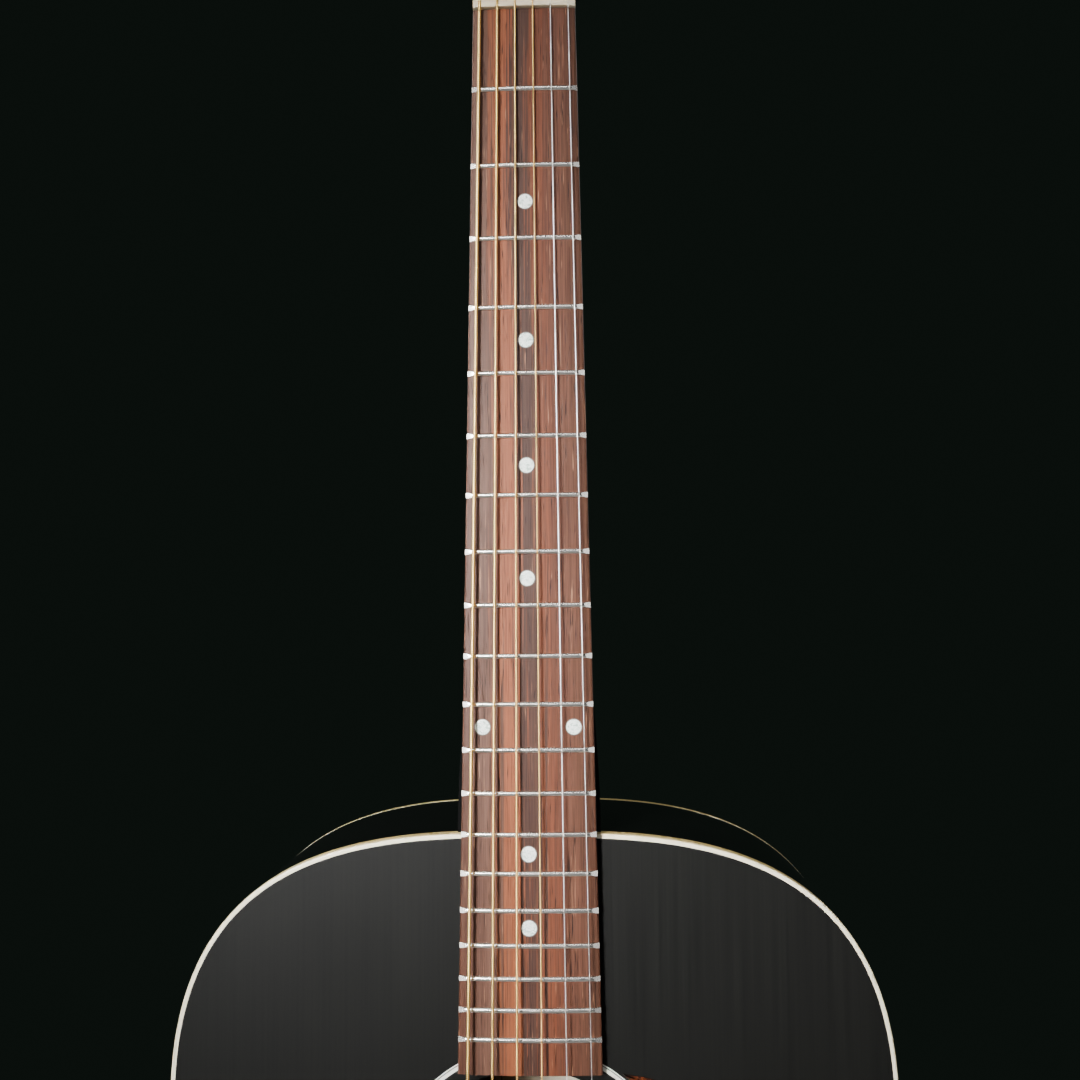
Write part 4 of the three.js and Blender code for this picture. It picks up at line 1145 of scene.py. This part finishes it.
def make_post(i):
    n = i + 1
    side, row = post_of(i)
    x, body = side * POST_X, f"post_{n}"
    profile = [
        (1.5, -18.95), (2.2, -18.8), (2.75, -18.3), (2.95, -17.6), (2.95, -12.5), (2.6, -11.2), (2.45, -8.5),
        (2.5, -5.5), (2.95, -3.6), (3.0, 2.0), (3.0, 17.5),
    ]
    shape = on_head(turned(profile, "y", (x, 0, row)))
    obj = piece(f"{body}_shaft", shape, "nickel", body, [f"tuner_post_{n}"])
    wire = STRING_DIAMETERS[i] / 2
    hole_y = hole_depth(i)
    # The hole is a hair off the middle, which keeps the cut mesh closed.
    hole = turned([(max(0.8, wire + 0.2), d) for d in (-6, 6)], "x", (x, hole_y + 0.017, row + 0.013), 22)
    cut(obj, on_head(hole))
    faces = ((0.35, -2.1), (0, -1.8), (0, 1.8), (0.35, 2.1))
    rings = [gear_ring(inset, x, WORM_DEPTH + d, row) for inset, d in faces]
    piece(f"{body}_gear", on_head(loft(rings)), "brass", body, sharp=25)
    cap = [(r, WORM_DEPTH + d) for r, d in ((2.6, 2.05), (2.6, 2.6), (2.2, 3.2), (1.2, 3.45), (0, 3.5))]
    top = piece(f"{body}_screw", on_head(turned(cap, "y", (x, 0, row), 28)), "nickel", body)
    cut(top, on_head(block(x - 4, x + 4, WORM_DEPTH + 2.9, WORM_DEPTH + 5, row - 0.35, row + 0.35)))
    make_winding(i, x, side, row, wire, hole_y)


def hole_depth(i):
    """How far in front of the headplate the string's hole in its post is."""
    return WINDING_DEPTH - 2.6 * STRING_DIAMETERS[i] - STRING_DIAMETERS[i] / 2 - 0.5


def string_look(i):
    return f"wound_{i + 1}" if i < len(WINDING_PITCHES) else "steel"


def make_winding(i, x, side, row, wire, hole_y):
    """The turns of the string round its post, and its end through the hole."""
    turns, post, per_turn = 2.5, 2.5, 28
    path = []
    for k in range(int(per_turn * turns) + 1):
        turn = k / per_turn
        angle = math.pi - FULL_TURN * turn if side > 0 else FULL_TURN * turn
        settle = min(1.0, turn / 0.35)
        radius = (POST_RADIUS + 0.02) * (1 - settle) + (post + 0.05) * settle + wire
        y = WINDING_DEPTH - STRING_DIAMETERS[i] * 1.04 * turn
        path.append((x + radius * math.cos(angle), y, row + radius * math.sin(angle)))
    last = np.array(path[-1])
    inwards = np.array([x - last[0], 0, row - last[2]])
    inwards /= np.linalg.norm(inwards)
    hole = np.array([x, hole_y, row]) - inwards * (post + 0.6)
    path.append((last + hole) / 2 - inwards * 0.25)
    path += [hole + inwards * d for d in (0.3, 1.5, 4.5, 6.4, 7.4)]
    piece(f"winding_{i + 1}", on_head(tube(path, wire, 10)), string_look(i), f"post_{i + 1}")


def make_ferrule(i):
    side, row = post_of(i)
    profile = [
        (3.2, 1.0), (3.2, -2.2), (3.4, -2.5), (4.0, -2.4), (4.5, -1.7), (4.7, -0.9), (5.3, -0.7), (5.6, -0.4),
        (5.6, 0.05), (4.2, 0.1), (4.2, 1.0),
    ]
    piece(f"ferrule_{i + 1}", on_head(ring_turned(profile, "y", (side * POST_X, 0, row), 40)), "nickel")


def make_key(i):
    side, row = post_of(i)
    x0, z0 = side * POST_X, row - CENTRE_DISTANCE
    name = f"key_{i + 1}"
    along = [
        (0, -8.2), (1.2, -8.2), (1.45, -7.9), (1.45, -5.1), (1.75, -5.0), (1.75, 5.0), (1.45, 5.1),
        (1.45, 16.9), (2.0, 17.1), (2.9, 17.4), (3.0, 18.0), (2.7, 18.6), (2.3, 19.0), (2.5, 19.8),
        (3.1, 20.4), (3.2, 21.2), (2.6, 21.9), (2.0, 22.2),
    ]
    shape = turned([(r, x0 + side * d) for r, d in along], "x", (0, WORM_DEPTH, z0), 32)
    piece(f"{name}_shaft", on_head(shape), "nickel", name, [f"tuner_key_{i + 1}"])
    rings = []
    per_turn, turns, core = 24, 3, 1.6
    for k in range(per_turn * turns + 1):
        turn = k / per_turn - turns / 2
        angle = FULL_TURN * turn
        crest = 1.75 + 1.05 * min(1.0, k / 8, (per_turn * turns - k) / 8)
        c, s, middle = math.cos(angle), math.sin(angle), x0 + WORM_PITCH * turn
        section = ((-0.45, core), (-0.2, crest), (0.2, crest), (0.45, core))
        rings.append([(middle + a, WORM_DEPTH - r * s, z0 + r * c) for a, r in section])
    piece(f"{name}_worm", on_head(loft(rings)), "nickel", name, sharp=50)
    shape = on_head(button(x0 + side * 30.6, WORM_DEPTH, z0))
    piece(f"{name}_button", shape, "nickel", name, sharp=80)


def power(value, exponent):
    return math.copysign(abs(value) ** exponent, value)


def button(x, y, z):
    """An oval button, flattened and a little waisted, with soft edges."""
    rings = []
    for polar in np.linspace(0.02, math.pi - 0.02, 33):
        ring = []
        for angle in circle(48):
            flat = power(math.sin(polar), 0.8)
            dx = 9.8 * power(math.cos(polar), 0.9)
            dz = 7.9 * flat * power(math.cos(angle), 0.85)
            dy = 3.9 * flat * power(math.sin(angle), 0.62)
            dimple = 1 - 0.22 * math.exp(-((dx / 5.5) ** 2) - (dz / 4.2) ** 2)
            ring.append((x + dx, y + dy * dimple, z + dz))
        rings.append(ring)
    return loft(rings)


def make_tuner_plate(side, name):
    front, face = HEAD_THICKNESS + 0.02, HEAD_THICKNESS + 1.6
    x0, x1 = (13.2, 29.6) if side > 0 else (-29.6, -13.2)
    z0, z1 = POST_ROWS[0] - 18, POST_ROWS[2] + 14
    radius = 5.0
    left, right, low, high = x0 + radius, x1 - radius, z0 + radius, z1 - radius
    loop = []
    for cx, cz, start in ((right, high, 0), (left, high, 90), (left, low, 180), (right, low, 270)):
        for a in np.radians(np.linspace(start, start + 90, 10)):
            loop.append((cx + radius * math.cos(a), cz + radius * math.sin(a)))
    base = piece(f"{name}_base", on_head(plate(loop, front, face, bevel=0.35)), "nickel", replaces=[name])
    holes = [turned([(3.3, 10), (3.3, 20)], "y", (side * POST_X, 0, row), 28) for row in POST_ROWS]
    cut(base, *map(on_head, holes))
    for r, row in enumerate(POST_ROWS):
        for e, offset in enumerate((7.2, -6.5)):
            x = side * (POST_X + offset)
            make_ear(f"{name}_ear_{r + 1}_{e + 1}", x, row - CENTRE_DISTANCE, face - 0.2)
    for s, z in enumerate((z0 + 3.5, POST_ROWS[0] + 13, POST_ROWS[1] + 13, z1 - 3.5)):
        screw(f"{name}_screw_{s + 1}", side * POST_X, face - 0.02, z, 2.2, 1)


def make_ear(name, x, z, foot):
    """A bearing ear with an arched top, and a hole for the worm's shaft."""
    top, radius, bore = WORM_DEPTH, 3.4, 1.62
    arch = [(radius * math.cos(a), top + radius * math.sin(a)) for a in np.linspace(0, math.pi, 17)]
    outline = [(4.4, foot), (3.6, foot + 1.2), *arch, (-3.6, foot + 1.2), (-4.4, foot)]
    rings = []
    for inset, dx in ((0.2, -1.0), (0, -0.8), (0, 0.8), (0.2, 1.0)):
        rings.append([(x + dx, y, z + w) for w, y in inset_loop(outline, max(inset, 1e-5))])
    obj = piece(name, on_head(loft(rings)), "nickel")
    cut(obj, on_head(turned([(bore, x - 3), (bore, x + 3)], "x", (0, top, z), 24)))


# ---- strings ----


def make_strings():
    ball = [
        (0.7, -2.1), (1.7, -2.1), (1.95, -1.8), (1.95, -1.2), (1.45, -0.7),
        (1.45, 0.7), (1.95, 1.2), (1.95, 1.8), (1.7, 2.1), (0.7, 2.1),
    ]
    hole_z = PIN_ROW + 3.7
    nut_xs, saddle_xs = string_xs(STRING_SPAN_NUT), string_xs(STRING_SPAN_SADDLE)
    for i, (xn, xs) in enumerate(zip(nut_xs, saddle_xs)):
        n, r = i + 1, STRING_DIAMETERS[i] / 2
        side, row = post_of(i)
        post = to_head([(side * (POST_X - POST_RADIUS - 0.02 - r), WINDING_DEPTH, row)])[0]
        over_nut = camber(xn) - NUT_TOP - r
        over_saddle = camber(xs) - SADDLE_TOP - r
        zs = SADDLE_Z + xs * math.tan(SADDLE_SLANT)
        behind_nut = np.array([xn, over_nut + 0.12, NUT_THICKNESS - 1.6])
        path = [post + (behind_nut - post) * s for s in (0, 0.2, 0.4, 0.6, 0.8)]
        path += [behind_nut, (xn, over_nut + 0.02, 2.4), (xn, over_nut, 1.2), (xn, over_nut, 0.4)]
        first, last = np.array([xn, over_nut, 0.4]), np.array([xs, over_saddle, zs + 0.9])
        path += [first + (last - first) * s for s in np.linspace(0, 1, 40)[1:]]
        lip = np.array([xs, over_saddle + 0.25, zs - 0.9])
        mouth = np.array([xs, -BRIDGE_TOP - 0.4, hole_z + 0.9])
        path += [(xs, over_saddle + 0.02, zs), lip]
        path += [lip + (mouth - lip) * s for s in (0.3, 0.6, 0.85)]
        path += [mouth, (xs, -BRIDGE_TOP + 0.25, hole_z + 0.35), (xs, -BRIDGE_TOP + 1.2, hole_z)]
        path += [(xs, 5, hole_z), (xs, 13.2, hole_z)]
        piece(f"string_{n}_wire", tube(path, r, 14), string_look(i), replaces=[f"string_{n}"])
        shape = ring_turned([(a, b + xs) for a, b in ball], "x", (0, 14.6, hole_z), 20)
        piece(f"ball_end_{n}", shape, "brass")


def paint_inside():
    """CAD pieces inside the body keep their shapes and get bare wood."""
    repaint("spruce", ["x_brace_bass", "x_brace_treble", "upper_transverse_brace", "tone_bar_upper"])
    repaint("spruce", ["tone_bar_lower", "back_center_strip", *[f"back_brace_{n}" for n in range(1, 5)]])
    repaint("mahogany", ["neck_block", "tail_block", "top_lining", "back_lining", "bridge_plate"])


# ---- camera, lights and floor ----


def make_camera():
    data = bpy.data.cameras.new("camera")
    data.sensor_width = 36
    data.lens = 39.9
    data.clip_start = 0.01
    camera = linked("camera", data)
    up, yaw, roll = math.radians(3.68), math.radians(2.03), math.radians(0.37)
    forward = Vector((-math.sin(yaw) * math.cos(up), math.cos(yaw) * math.cos(up), math.sin(up)))
    turn = Matrix.Rotation(yaw, 3, "Z") @ Matrix.Rotation(up, 3, "X") @ Matrix.Rotation(roll, 3, "Y")
    right, above = turn @ Vector((1, 0, 0)), turn @ Vector((0, 0, 1))
    rotation = Matrix((right, above, -forward)).transposed().to_4x4()
    camera.matrix_world = Matrix.Translation((0.0230, -0.4955, -0.2598)) @ rotation
    bpy.context.scene.camera = camera


def softbox(name, place, target, size, power, spread=180):
    data = bpy.data.lights.new(name, "AREA")
    data.spread = math.radians(spread)
    data.shape = "RECTANGLE"
    data.size, data.size_y = size
    data.energy = power
    light = linked(name, data)
    direction = Vector(target) - Vector(place)
    light.matrix_world = Matrix.Translation(place) @ direction.to_track_quat("-Z", "Y").to_matrix().to_4x4()


def make_studio():
    world = bpy.data.worlds.new("studio")
    bpy.context.scene.world = world
    world.use_nodes = True
    background = world.node_tree.nodes["Background"]
    background.inputs["Color"].default_value = (0.65, 1.0, 0.78, 1)
    background.inputs["Strength"].default_value = 0.008
    middle = (0, 0, -0.28)
    softbox("key", (-0.66, -1.45, 0.02), (0, 0, -0.27), (0.42, 0.42), 2.6, spread=22)
    softbox("tall_left", (-1.30, -1.15, -0.15), middle, (0.26, 1.5), 7)
    softbox("tall_right", (1.25, -1.20, -0.15), middle, (0.26, 1.5), 3.4)
    softbox("front_top", (-0.10, -1.05, 0.80), (0, 0, -0.28), (0.80, 0.11), 3.2)
    softbox("back_left", (-1.5, 1.5, 0.9), (0, 0.05, -0.5), (1.0, 1.4), 26)
    softbox("back_right", (1.6, 1.3, 0.7), (0, 0.05, -0.5), (0.8, 1.4), 18)
    softbox("far_left", (-2.5, 1.9, -0.2), (0, 0.1, -0.4), (1.0, 2.0), 12)
    softbox("far_right", (2.6, 1.7, -0.2), (0, 0.1, -0.4), (1.0, 2.0), 9)
    radius, height = 3.2, -1.75
    mesh = bpy.data.meshes.new("floor")
    edge = [(radius * math.cos(a), radius * math.sin(a), height) for a in circle(96)]
    mesh.from_pydata(edge, [], [tuple(range(96))])
    floor = linked("floor", mesh)
    p = Paint("floor")
    color = p.ramp(p.noise(8), (0.3, (0.60, 0.60, 0.59)), (0.7, (0.66, 0.66, 0.65)))
    mesh.materials.append(p.finish(color, 0.6))


make_camera()
make_studio()
make_rims()
make_top()
make_back()
make_rosette()
make_pickguard()
make_label()
make_end_pin()
make_bridge()
make_saddle()
make_bridge_pins()
make_neck()
make_heel_cap()
make_fingerboard()
make_frets()
make_dots()
make_nut()
make_rod()
make_headplate()
make_rod_cover()
for string in range(len(STRING_DIAMETERS)):
    make_post(string)
    make_ferrule(string)
    make_key(string)
make_tuner_plate(-1, "tuner_plate_bass")
make_tuner_plate(1, "tuner_plate_treble")
make_strings()
paint_inside()
